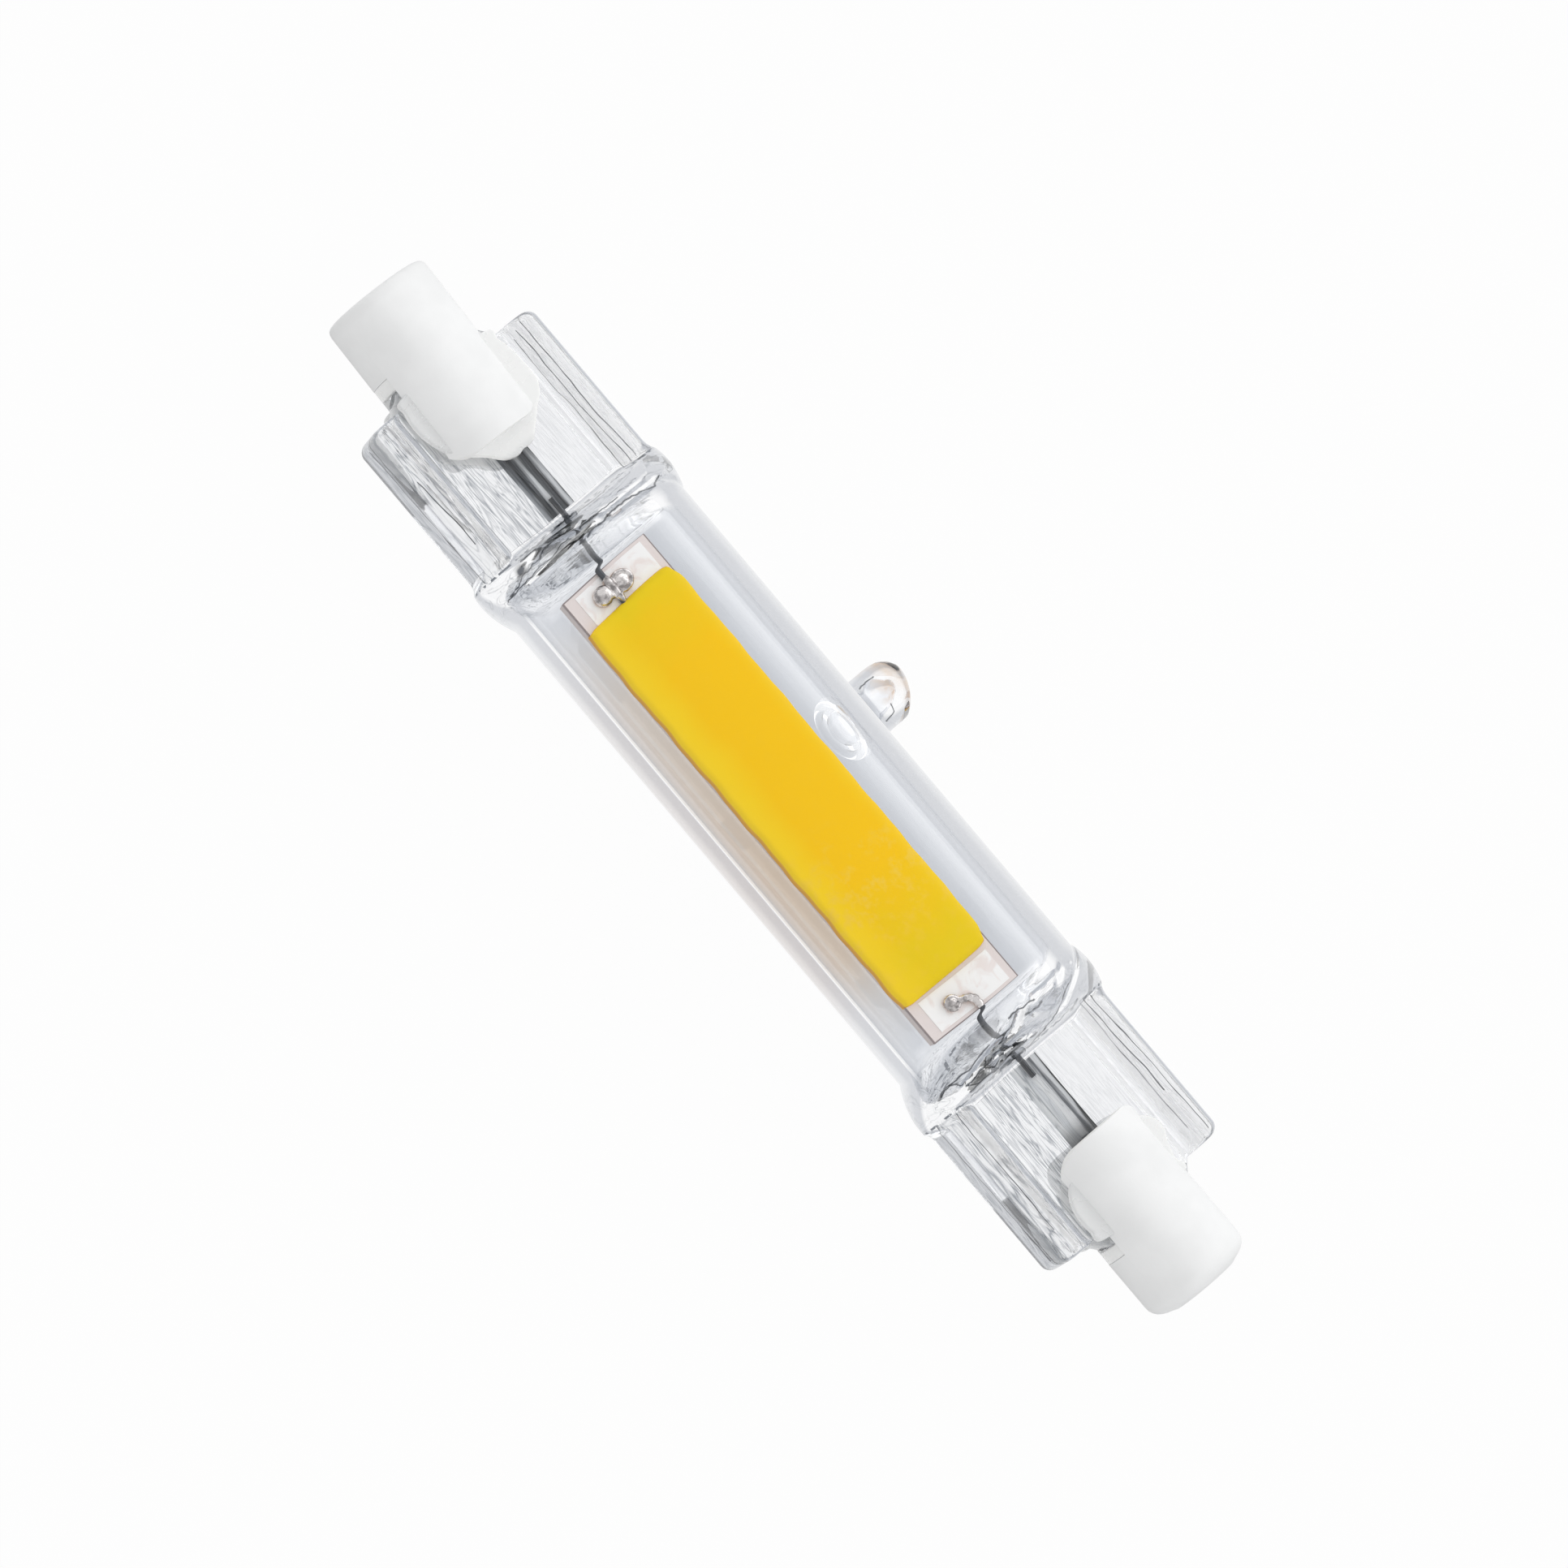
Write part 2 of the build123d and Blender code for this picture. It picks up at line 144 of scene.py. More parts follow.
def finishPiece(piece, name, node, material, angle):
    # sets a piece in its place in the row's frame, in metres, and hands it over for its node; edges sharper than the
    # angle, in degrees, stay sharp
    settle(piece)
    piece.name = name
    piece.scale = (mm, mm, mm)
    piece.rotation_euler = (lamp["roll"] * deg, 0, 0)
    piece.location = [c * mm for c in lamp["centre"]]
    bpy.ops.object.transform_apply(location=True, rotation=True, scale=True)
    bpy.ops.object.shade_smooth_by_angle(angle=angle * deg)
    piece.data.materials.clear()
    piece.data.materials.append(material)
    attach(piece, "root")
    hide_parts(node)


def ease(t):
    return 1 - math.cos(math.pi / 2 * t)


def easeBoth(a, b, x):
    t = min(max((x - a) / (b - a), 0.0), 1.0)
    return t * t * (3 - 2 * t)


def distanceToRun(p, a, b):
    run = (b[0] - a[0], b[1] - a[1])
    t = ((p[0] - a[0]) * run[0] + (p[1] - a[1]) * run[1]) / (run[0] ** 2 + run[1] ** 2)
    t = min(max(t, 0.0), 1.0)
    return math.dist(p, (a[0] + run[0] * t, a[1] + run[1] * t))


# materials
def hexColour(text):
    parts = [int(text[i:i + 2], 16) / 255 for i in (0, 2, 4)]
    return [c / 12.92 if c <= 0.04045 else ((c + 0.055) / 1.055) ** 2.4 for c in parts] + [1.0]


def setRamp(node, stops):
    ramp = node.color_ramp
    for place, colour in stops[2:]:
        ramp.elements.new(place)
    for element, (place, colour) in zip(ramp.elements, stops):
        element.position = place
        element.color = hexColour(colour) if isinstance(colour, str) else [colour] * 3 + [1.0]


def addNode(tree, kind, inputs={}, stops=None, **settings):
    # an input takes a value, a hex colour, a socket, or a node, which stands for its first output in use
    node = tree.nodes.new("ShaderNode" + kind)
    for name, value in settings.items():
        setattr(node, name, value)
    for name, value in inputs.items():
        if isinstance(value, bpy.types.Node):
            value = next(output for output in value.outputs if output.enabled)
        if isinstance(value, bpy.types.NodeSocket):
            tree.links.new(value, node.inputs[name])
        else:
            node.inputs[name].default_value = hexColour(value) if isinstance(value, str) else value
    if stops:
        setRamp(node, stops)
    return node


def newMaterial(name):
    # an empty material, and the function that adds nodes to it
    material = bpy.data.materials.new(name)
    material.use_nodes = True
    material.node_tree.nodes.clear()
    return material, partial(addNode, material.node_tree)


def layColours(add, ground, *layers):
    # lays colours over the ground one after another, each by its share
    for share, colour in layers:
        ground = add("Mix", {"Factor": share, "A": ground, "B": colour}, data_type="RGBA")
    return ground


def finishMaterial(material, add, inputs, relief=None, through=None):
    # the surface, with relief given by its height, strength and depth in millimetres, and with the share of the
    # light that goes straight on
    if relief:
        height, strength, depth = relief
        inputs["Normal"] = add("Bump", {"Height": height, "Strength": strength, "Distance": depth * mm})
    surface = add("BsdfPrincipled", inputs)
    if through:
        clear = add("BsdfTransparent", {"Color": (1, 1, 1, 1)})
        surface = add("MixShader", {0: through, 1: surface, 2: clear})
    add("OutputMaterial", {"Surface": surface})
    return material


def dress(material, *names):
    for name in names:
        for slot in nodes[name].material_slots:
            slot.material = material


def crossCoordinate(add, place):
    # how far across the row's frame a place is from the lamp's axis, in millimetres, whatever the lamp's roll
    angle = lamp["roll"] * deg
    return add("VectorMath", {0: place, 1: (0, math.cos(angle), -math.sin(angle))}, operation="DOT_PRODUCT")


def lampCoordinates(add):
    # object coordinates turned back to the lamp's own frame, in millimetres
    place = add("TexCoord")
    shift = add("VectorMath", {0: place.outputs["Object"], 1: [c * mm for c in lamp["centre"]]}, operation="SUBTRACT")
    turn = add("Mapping", {"Vector": shift, "Rotation": (-lamp["roll"] * deg, 0, 0), "Scale": (1000, 1000, 1000)})
    axes = add("SeparateXYZ", {"Vector": turn})
    return turn.outputs["Vector"], axes.outputs["X"], axes.outputs["Y"], axes.outputs["Z"]


# Glass: clear tube, drawn smooth and thin, with both ends pressed flat between hot dies. The drawn part shows only
# soft reflections. The pressed part is streaky along the lamp and hammered by the dies, its shoulders are creased
# where the tube folded, and the tip was browned by the flame that sealed it.
# some colours below are painted shade: the grazing-edge grey, the fold and dark-line colours, the greyer back, and the
# board's shadow tint beside it and at the wall
glassLook = {
    "tint": "FAFBFD", "edge": "ACB0B8", "streakLine": "8B9199", "foldShade": "737980", "dieLine": "454A52",
    "shadeLine": "24272C", "scorch": "D2A878", "back": "D0D3D8", "shadowTint": "FDF0E1", "shadowTintAtWall": "ECDDD3",
    "ior": 1.47, "streakSpacing": 0.42, "hammerWidth": 1.1, "foldSpacing": 0.9, "bumpHeight": 0.02,
    "dieEdge": 21.15, "clearAfter": 6.5, "clearAfterTurns": 0.5, "haze": (0.06, 0.26),
}
# painted shade: dark lines where the folds are deepest, round the tip's mouth and along the rails, as seen from
# above the lamp where it lies: points along and across it, and width
shadeLines = [
    ([(-19.5, 6.0), (-19.27, 5.3), (-19.65, 3.9), (-19.58, 1.0), (-19.44, 0.25)], 0.1),
    ([(-20.1, 3.25), (-20.12, 0.35)], 0.07), ([(-20.5, -3.9), (-20.45, -4.15)], 0.45),
    ([(-20.0, -0.6), (-19.6, -5.6)], 0.05),
    ([(19.0, 2.85), (18.95, 0.95)], 0.09), ([(19.5, 5.5), (20.75, 3.25), (21.1, 0.8)], 0.06),
    ([(20.6, 0.7), (20.15, -0.7), (20.25, -2.3), (20.4, -3.6), (20.8, -2.9)], 0.1),
    ([(19.4, -0.9), (19.75, -2.75), (19.7, -4.4), (19.95, -5.2)], 0.08),
    ([(-2.0, 8.1), (-1.85, 7.0)], 0.07), ([(0.0, 7.9), (0.5, 7.75), (0.64, 6.95)], 0.08),
    ([(-32.2, 5.6), (-21.4, 5.75)], 0.04), ([(-31.9, 5.1), (-21.4, 5.3)], 0.04), ([(-31.5, 4.65), (-21.3, 4.8)], 0.03),
    ([(-28.5, -5.3), (-23.4, -5.15)], 0.05), ([(-31.9, -6.35), (-21.4, -6.2)], 0.04),
    ([(21.2, 5.7), (32.0, 5.9)], 0.04), ([(21.2, 5.2), (28.5, 5.3)], 0.04), ([(21.2, 4.85), (31.2, 4.9)], 0.03),
    ([(21.4, -5.15), (30.5, -5.25)], 0.04), ([(21.3, -6.6), (31.8, -6.6)], 0.04),
]


def lineShare(add, flat, a, b, width):
    # 1 on the straight stroke from a to b and 0 beside it
    run = Vector((b[0] - a[0], b[1] - a[1], 0))
    off = add("VectorMath", {0: flat, 1: (a[0], a[1], 0)}, operation="SUBTRACT")
    share = add("VectorMath", {0: off, 1: run / run.length_squared}, operation="DOT_PRODUCT")
    share = add("Clamp", {"Value": share})
    foot = add("VectorMath", {"Scale": share, 0: run}, operation="SCALE")
    away = add("VectorMath", {0: off, 1: foot}, operation="DISTANCE")
    return add("MapRange", {"Value": away, "From Min": width, "From Max": width * 0.3})


def pressedGlass():
    look = glassLook
    material, add = newMaterial("clear pressed glass")
    place, x, y, z = lampCoordinates(add)
    outward = add("Math", {0: x}, operation="ABSOLUTE")
    onSeal = add("MapRange", {"Value": outward, "From Min": 20.9, "From Max": 21.3})
    onShoulder = add("ValToRGB", {"Fac": add("MapRange", {"Value": outward, "From Min": 18.0, "From Max": 22.0})},
        stops=[(0.05, 0.0), (0.3, 1.0), (0.7, 1.0), (0.8, 0.0)])
    lowerHalf = add("MapRange", {"Value": y, "From Min": 0.9, "From Max": -0.7, "To Min": 0.25, "To Max": 1.0})

    # lengthwise streaks, where the shears drew the hot glass
    drawn = add("Mapping", {"Vector": place, "Scale": (0.09, 0.5 / look["streakSpacing"], 0.25)})
    streaks = add("TexNoise", {"Vector": drawn, "Scale": 1.0, "Detail": 3.0, "Roughness": 0.6, "Distortion": 0.3})
    streakLines = add("ValToRGB", {"Fac": streaks}, stops=[(0.0, 0.0), (0.4, 0.0), (0.43, 0.75), (0.455, 0.0),
        (0.49, 0.0), (0.51, 1.0), (0.535, 0.0), (0.57, 0.0), (0.585, 0.6), (0.6, 0.0)])
    streakShare = add("Math", {0: streakLines, 1: lowerHalf}, operation="MULTIPLY")
    streakShare = add("Math", {0: streakShare, 1: onSeal}, operation="MULTIPLY")
    # painted shade: greyer where the eye looks along its surface
    facing = add("LayerWeight", {"Blend": 0.5})
    edgeShare = add("ValToRGB", {"Fac": facing.outputs["Facing"]}, stops=[(0.36, 0.0), (0.45, 0.95), (0.6, 0.95),
        (0.7, 0.75), (0.85, 0.7), (0.95, 1.0)])

    # creases that run across the shoulders, with painted shade darkening them
    folded = add("Mapping", {"Vector": place, "Scale": (0.8 / look["foldSpacing"], 0.16, 0.3)})
    creases = add("TexNoise", {"Vector": folded, "Scale": 1.0, "Detail": 2.5, "Distortion": 1.4})
    foldShades = add("ValToRGB", {"Fac": creases}, stops=[(0.0, 0.0), (0.46, 0.0), (0.48, 0.5), (0.495, 0.0),
        (0.53, 0.0), (0.545, 0.9), (0.56, 0.0)])
    foldShadeShare = add("Math", {0: foldShades, 1: onShoulder}, operation="MULTIPLY")

    # the edge of the die, a broken line across the web
    fromEdge = add("Math", {0: outward, 1: look["dieEdge"], 2: 0.07}, operation="COMPARE")
    dots = add("TexNoise", {"Vector": place, "Scale": 2.6, "Detail": 1.0})
    dotted = add("Math", {0: dots, 1: 0.5}, operation="GREATER_THAN")
    dieShare = add("Math", {0: fromEdge, 1: dotted}, operation="MULTIPLY")

    # brown spots on the exhaust tip
    along = add("VectorMath", {0: place, 1: (0, math.cos(tip["below"] * deg), -math.sin(tip["below"] * deg))},
        operation="DOT_PRODUCT")
    onTip = add("MapRange", {"Value": along, "From Min": 8.8, "From Max": 10.6})
    spots = add("TexNoise", {"Vector": place, "Scale": 0.75, "Detail": 2.0})
    spotShare = add("ValToRGB", {"Fac": spots}, stops=[(0.38, 0.0), (0.56, 0.9)])
    scorchShare = add("Math", {0: spotShare, 1: onTip}, operation="MULTIPLY")

    # painted shade: the tube is greyer at its back
    behind = add("MapRange", {"Value": z, "From Min": 0.4, "From Max": -0.6})
    onTube = add("MapRange", {"Value": outward, "From Min": 19.0, "From Max": 17.6})
    belowTip = add("MapRange", {"Value": along, "From Min": 6.9, "From Max": 6.6})
    onTube = add("Math", {0: onTube, 1: belowTip}, operation="MULTIPLY")
    backShare = add("Math", {0: behind, 1: onTube}, operation="MULTIPLY")
    colour = layColours(add, look["tint"], (edgeShare, look["edge"]), (streakShare, look["streakLine"]),
                        (foldShadeShare, look["foldShade"]), (dieShare, look["dieLine"]),
                        (scorchShare, look["scorch"]), (backShare, look["back"]))

    # painted shadow of the board, tinted by light off it, laid into the glass beside the board, with a painted
    # highlight line where the wall begins
    across = crossCoordinate(add, place)
    shadowTintAcross = add("ValToRGB", {"Fac": add("MapRange", {"Value": across, "From Min": -6.0, "From Max": -3.4})},
        stops=[(0.1, look["shadowTintAtWall"]), (0.14, "FFFFFF"), (0.2, "FFFFFF"), (0.26, look["shadowTint"]),
        (0.85, look["shadowTint"]), (1.0, "FFFFFF")])
    shadowTintAlong = add("ValToRGB", {"Fac": add("MapRange", {"Value": x, "From Min": -17.0, "From Max": 17.0})},
        stops=[(0.0, 0.0), (0.2, 0.6), (0.6, 1.0), (0.8, 0.9), (0.9, 0.25), (1.0, 0.0)])
    colour = add("Mix", {"Factor": shadowTintAlong, "A": colour, "B": shadowTintAcross}, data_type="RGBA", blend_type="MULTIPLY")
    # painted highlight: a white line along the tube where its wall begins
    bright = add("Math", {0: across, 1: -5.58, 2: 0.1}, operation="COMPARE")
    bright = add("Math", {0: bright, 1: onTube}, operation="MULTIPLY")
    above = add("MapRange", {"Value": z, "From Min": -1.0, "From Max": -0.6})
    bright = add("Math", {0: bright, 1: above}, operation="MULTIPLY")

    # painted shade: dark lines in the folds, on the upper side only
    slow = add("Mapping", {"Vector": place, "Scale": (0.25, 0.9, 0.9)})
    wobble = add("TexNoise", {"Vector": slow, "Scale": 1.0, "Detail": 2.0})
    moved = add("VectorMath", {0: wobble.outputs["Color"], 1: (0.5, 0.5, 0.5), 2: (-0.25, -0.25, -0.25)},
        operation="MULTIPLY_ADD")
    flat = add("CombineXYZ", {"X": x, "Y": across})
    flat = add("VectorMath", {0: flat, 1: moved}, operation="ADD")
    flat = add("VectorMath", {0: flat, 1: (1, 1, 0)}, operation="MULTIPLY")
    lines = None
    for points, width in shadeLines:
        for a, b in zip(points, points[1:]):
            share = lineShare(add, flat, a, b, width)
            lines = share if lines is None else add("Math", {0: lines, 1: share}, operation="MAXIMUM")
    lines = add("Math", {0: lines, 1: above}, operation="MULTIPLY")
    colour = layColours(add, colour, (bright, (1, 1, 1, 1)), (lines, look["shadeLine"]))

    # relief: streaks and hammering on the seals, folds on the shoulders
    hammer = add("TexNoise", {"Vector": place, "Scale": 1 / look["hammerWidth"], "Detail": 1.5})
    pressed = add("Math", {0: streaks, 1: hammer}, operation="ADD")
    pressed = add("Math", {0: pressed, 1: onSeal}, operation="MULTIPLY")
    pressed = add("Math", {0: pressed, 1: lowerHalf}, operation="MULTIPLY")
    creased = add("Math", {0: creases, 1: onShoulder}, operation="MULTIPLY")
    heights = add("Math", {0: creased, 1: 2.0, 2: pressed}, operation="MULTIPLY_ADD")
    # the pressed glass is a little hazy, most of all its thick rails
    aside = add("Math", {0: y, 1: 0.3}, operation="ADD")
    aside = add("Math", {0: aside}, operation="ABSOLUTE")
    haze = add("MapRange", {"Value": aside, "From Min": 4.2, "From Max": 4.8, "To Min": look["haze"][0],
        "To Max": look["haze"][1]})
    haze = add("Math", {0: haze, 1: onSeal}, operation="MULTIPLY")
    clarity = add("Math", {0: 1.0, 1: haze}, operation="SUBTRACT")
    # light passes to what is inside it, and a ray that has been caught in it for long goes straight on
    path = add("LightPath")
    through = add("Math", {0: path.outputs["Is Shadow Ray"], 1: path.outputs["Is Diffuse Ray"]}, operation="MAXIMUM")
    for count, limit in (("Ray Depth", look["clearAfter"]), ("Glossy Depth", look["clearAfterTurns"])):
        caught = add("Math", {0: path.outputs[count], 1: limit}, operation="GREATER_THAN")
        through = add("Math", {0: through, 1: caught}, operation="MAXIMUM")
    return finishMaterial(material, add, {
        "Base Color": colour, "Roughness": 0.0, "IOR": look["ior"], "Specular IOR Level": 0.06,
        "Transmission Weight": clarity}, (heights, 1.0, look["bumpHeight"]), through)


# the glass envelope; lengths along the lamp are measured outwards from its middle
envelope = {
    "ring": 224, "tubeEnd": 17.95, "shoulderEnd": 21.35, "railEnd": 32.55, "tongueEnd": 34.15,
    "bulge": 0.8, "bulgeSweep": 112, "shoulderHalf": 3.2, "sealHalf": 6.65, "webHalf": 1.5, "railHalf": 2.4,
    "railWidth": 2.0, "railRound": 0.85, "rootRound": 0.4, "pressStart": 20.7, "pressEnd": 21.6,
    "endRound": 0.7, "shift": {-1: -0.13, 1: -0.45}, "tongueWidth": (9.8, 5.4),
    "hollowStart": 17.35, "hollowEnd": 20.3, "hollowHalf": 2.2, "hollowNarrow": -0.2, "hollowRound": 0.7,
    "deepestFold": 0.4, "pressCurve": 0.3, "railThinning": 0.8, "tongueLap": 1, "tongueBevel": 0.35,
    "tongueFit": 0.998, "shoulderRings": (0.125, 22), "pressRings": (20.8, 0.08, 16),
    "sealRings": [22.3, 23.5, 25, 27, 29, 31], "hollowRings": (0.15, 14), "hollowRing": 176, "outlineSteps": 96,
}
roundSteps = (0, 12, 24, 36, 48, 60, 75, 90)  # degrees of a rounded end where a ring of points stands
hollowSteps = (0, 12, 25, 37, 50, 62, 76, 90)
# creases in the shoulders' upper side: the line's points outwards and across, its depth and width
folds = {
    -1: [([(19.6, 6.2), (19.3, 5.1), (19.46, 4.2), (19.46, 0.3)], 0.32, 0.16),
         ([(20.1, 4.6), (19.9, 3.4), (19.9, 0.8), (20.0, 0.2)], 0.2, 0.14),
         ([(19.6, -0.7), (19.5, -3.0), (19.4, -5.8)], 0.2, 0.16),
         ([(17.9, 6.4), (18.9, 5.5), (19.2, 4.9)], 0.18, 0.2),
         ([(20.3, 6.2), (20.7, 5.2), (20.2, 4.9)], 0.16, 0.16),
         ([(20.3, -1.6), (20.9, -3.6), (20.4, -4.6)], 0.2, 0.22)],
    1: [([(18.8, 3.1), (18.9, 2.0), (18.85, 0.7)], 0.3, 0.15),
        ([(18.1, 6.4), (19.4, 4.8), (20.4, 3.1), (20.8, 1.2)], 0.26, 0.18),
        ([(19.0, -0.4), (19.6, -1.2), (19.75, -3.0), (20.3, -5.3)], 0.32, 0.16),
        ([(20.9, 1.2), (20.4, -0.6), (20.15, -2.9)], 0.36, 0.15),
        ([(19.6, 0.4), (20.3, 1.6), (20.9, 2.2)], 0.2, 0.16),
        ([(20.2, -3.7), (20.8, -3.1), (20.5, -2.6)], 0.3, 0.16),
        ([(18.9, 4.6), (18.6, 3.9), (19.2, 2.9)], 0.18, 0.2)],
}


def sealOutline(count):
    # a quarter of the seal's cross-section from its outer side to the middle of the web, as evenly spaced points
    e = envelope
    w, h, t, r, f = e["sealHalf"], e["railHalf"], e["webHalf"], e["railRound"], e["rootRound"]
    inner = w - e["railWidth"]
    points = [(w, 0.0)]
    points += [(w - r + r * math.cos(a * deg), h - r + r * math.sin(a * deg)) for a in range(0, 91, 10)]
    points += [(inner + r - r * math.sin(a * deg), h - r + r * math.cos(a * deg)) for a in range(0, 91, 10)
               if h - r + r * math.cos(a * deg) > t + f]
    points += [(inner - f + f * math.cos(a * deg), t + f - f * math.sin(a * deg)) for a in range(0, 91, 15)]
    points += [(0.0, t)]
    lengths = [0.0]
    for a, b in zip(points, points[1:]):
        lengths.append(lengths[-1] + math.dist(a, b))
    outline = []
    for i in range(count + 1):
        at = lengths[-1] * i / count
        k = max(j for j in range(len(points) - 1) if lengths[j] <= at + 1e-9)
        run = lengths[k + 1] - lengths[k]
        share = 0 if run < 1e-9 else (at - lengths[k]) / run
        a, b = points[k], points[k + 1]
        outline.append((a[0] + (b[0] - a[0]) * share, a[1] + (b[1] - a[1]) * share))
    return outline


def foldDepth(out, y, side):
    depth = 0.0
    for line, deep, wide in folds[side]:
        if min(p[0] for p in line) - 1 < out < max(p[0] for p in line) + 1:
            near = min(distanceToRun((out, y), a, b) for a, b in zip(line, line[1:]))
            depth += deep * math.exp(-(near / wide) ** 2)
    return min(depth, envelope["deepestFold"])


def pressGlass(piece, outline):
    # presses the round ends of the tube to shoulders and flat seals, as the dies do
    e = envelope
    quarter = len(outline) - 1
    for vertex in piece.data.vertices:
        x, y, z = vertex.co
        side, out = (1 if x > 0 else -1), abs(x)
        if out <= e["tubeEnd"] + 1e-4:
            continue
        angle = math.atan2(abs(z), abs(y))
        t = min((out - e["tubeEnd"]) / (e["shoulderEnd"] - e["tubeEnd"]), 1.0)
        halfWidth = lamp["tubeRadius"] + e["bulge"] * math.sin(e["bulgeSweep"] * deg * t)
        halfHeight = lamp["tubeRadius"] + (e["shoulderHalf"] - lamp["tubeRadius"]) * ease(t)
        oval = (halfWidth * math.cos(angle), halfHeight * math.sin(angle))
        at = angle / (math.pi / 2) * quarter
        k = min(int(at), quarter - 1)
        flat = [outline[k][i] + (outline[k + 1][i] - outline[k][i]) * (at - k) for i in (0, 1)]
        curve = e["pressCurve"] * (oval[0] / e["sealHalf"]) ** 2
        press = easeBoth(e["pressStart"] + curve, e["pressEnd"] + curve, out)
        across, up = [oval[i] + (flat[i] - oval[i]) * press for i in (0, 1)]
        inset = 0.0
        if out > e["railEnd"] - e["endRound"]:
            inset = e["endRound"] - math.sqrt(max(e["endRound"] ** 2 - (out - e["railEnd"] + e["endRound"]) ** 2, 0))
        across, up = across * (1 - inset / e["sealHalf"]), up * (1 - inset / e["railHalf"] * e["railThinning"])
        across, up = math.copysign(across, y) + e["shift"][side] * t, math.copysign(up, z)
        if z > 0:
            up -= foldDepth(out, across, side) * min(up / 2, 1.0)
        vertex.co = Vector((x, across, up))


def tubeWithEnds(name, ring, radius, straight, stations):
    # a round tube whose ends are drawn out ring by ring
    deselect()
    bpy.ops.mesh.primitive_cylinder_add(vertices=ring, radius=radius, depth=2 * straight, end_fill_type="NOTHING",
                                        rotation=(0, math.pi / 2, 0))
    piece = shaped()
    piece.name = name
    for side in (-1, 1):
        last = straight
        selectVertices(piece, lambda p: p.x * side > straight - 0.01)
        for x in stations:
            bpy.ops.mesh.extrude_region_move(TRANSFORM_OT_translate={"value": ((x - last) * side, 0, 0)})
            last = x
        bpy.ops.object.mode_set(mode="OBJECT")
    return piece


def closeEnds(piece):
    pick(piece)
    bpy.ops.object.mode_set(mode="EDIT")
    bpy.ops.mesh.select_mode(type="EDGE")
    bpy.ops.mesh.select_all(action="DESELECT")
    bpy.ops.mesh.select_non_manifold()
    bpy.ops.mesh.edge_face_add()
    bpy.ops.object.mode_set(mode="OBJECT")
    faceOut(piece)


def blowGlass():
    e = envelope
    gap, count = e["shoulderRings"]
    steps = [e["tubeEnd"] + gap * i for i in range(1, count + 1)]
    start, gap, count = e["pressRings"]
    steps += [start + gap * i for i in range(count)] + e["sealRings"]
    steps += [e["railEnd"] - e["endRound"] * (1 - math.sin(a * deg)) for a in roundSteps]
    skin = tubeWithEnds("skin", e["ring"], lamp["tubeRadius"], e["tubeEnd"], sorted(set(round(s, 3) for s in steps)))
    pressGlass(skin, sealOutline(e["outlineSteps"]))
    closeEnds(skin)
    for side in (-1, 1):
        deselect()
        middle = (e["railEnd"] + e["tongueEnd"] - e["tongueLap"]) / 2
        bpy.ops.mesh.primitive_cube_add(size=1, location=(side * middle, e["shift"][side], 0))
        tongue = shaped((e["tongueEnd"] - e["railEnd"] + e["tongueLap"], e["tongueWidth"][0],
                         2 * e["webHalf"] * e["tongueFit"]))
        for vertex in tongue.data.vertices:
            if vertex.co.x * side > e["railEnd"]:
                across = vertex.co.y - e["shift"][side]
                vertex.co.y = e["shift"][side] + across * e["tongueWidth"][1] / e["tongueWidth"][0]
        useModifier(tongue, "BEVEL", width=e["tongueBevel"], segments=4)
        useBoolean(skin, tongue, "UNION")
    return skin


def hollowEnds(piece):
    e = envelope
    for vertex in piece.data.vertices:
        x, y, z = vertex.co
        side, out = (1 if x > 0 else -1), abs(x)
        if out <= e["hollowStart"] + 1e-4:
            continue
        t = min((out - e["hollowStart"]) / (e["hollowEnd"] - e["hollowStart"]), 1.0)
        angle = math.atan2(abs(z), abs(y))
        r = lamp["hollowRadius"]
        halfWidth = r - e["hollowNarrow"] * ease(t)
        halfHeight = r + (e["hollowHalf"] - r) * ease(t)
        corner = e["hollowRound"]
        if out > e["hollowEnd"] - corner:
            close = corner * (1 - math.sqrt(max(1 - ((out - e["hollowEnd"] + corner) / corner) ** 2, 0)))
            halfWidth -= close
            halfHeight -= close
        vertex.co = Vector((x, math.copysign(halfWidth * math.cos(angle), y) + e["shift"][side] * t,
                            math.copysign(halfHeight * math.sin(angle), z)))


# exhaust tip: height from the lamp's axis, radius, and shift along the lamp, of a tube that was melted off unevenly
tip = {
    "x": -0.7, "below": 11.0, "ring": 72, "slant": 0.22, "slantFrom": (8.6, 11.0), "slantHinge": 0.9,
    "outside": [(5.95, 2.75, 0.0), (6.5, 2.4, 0.0), (6.8, 2.2, 0.0), (7.2, 2.05, 0.0), (8.0, 1.97, 0.0),
                (9.0, 1.97, 0.0), (9.6, 1.95, 0.0), (10.05, 1.82, -0.05), (10.45, 1.56, -0.1), (10.75, 1.22, -0.15),
                (10.95, 0.82, -0.2), (11.06, 0.4, -0.2), (11.1, 0.08, -0.2)],
    "bore": [(4.5, 1.25, 0.0), (6.3, 1.2, 0.0), (6.9, 1.0, 0.0), (7.6, 0.9, 0.0), (8.3, 0.94, 0.02), (8.9, 0.98, 0.03),
             (9.4, 0.86, 0.0), (9.8, 0.6, -0.05), (10.0, 0.2, -0.1)],
    "boreRing": 56, "boreUneven": 0.16, "unevenFrom": (7.0, 9.0),
    "collar": (5.62, 1.85, 0.33),
}


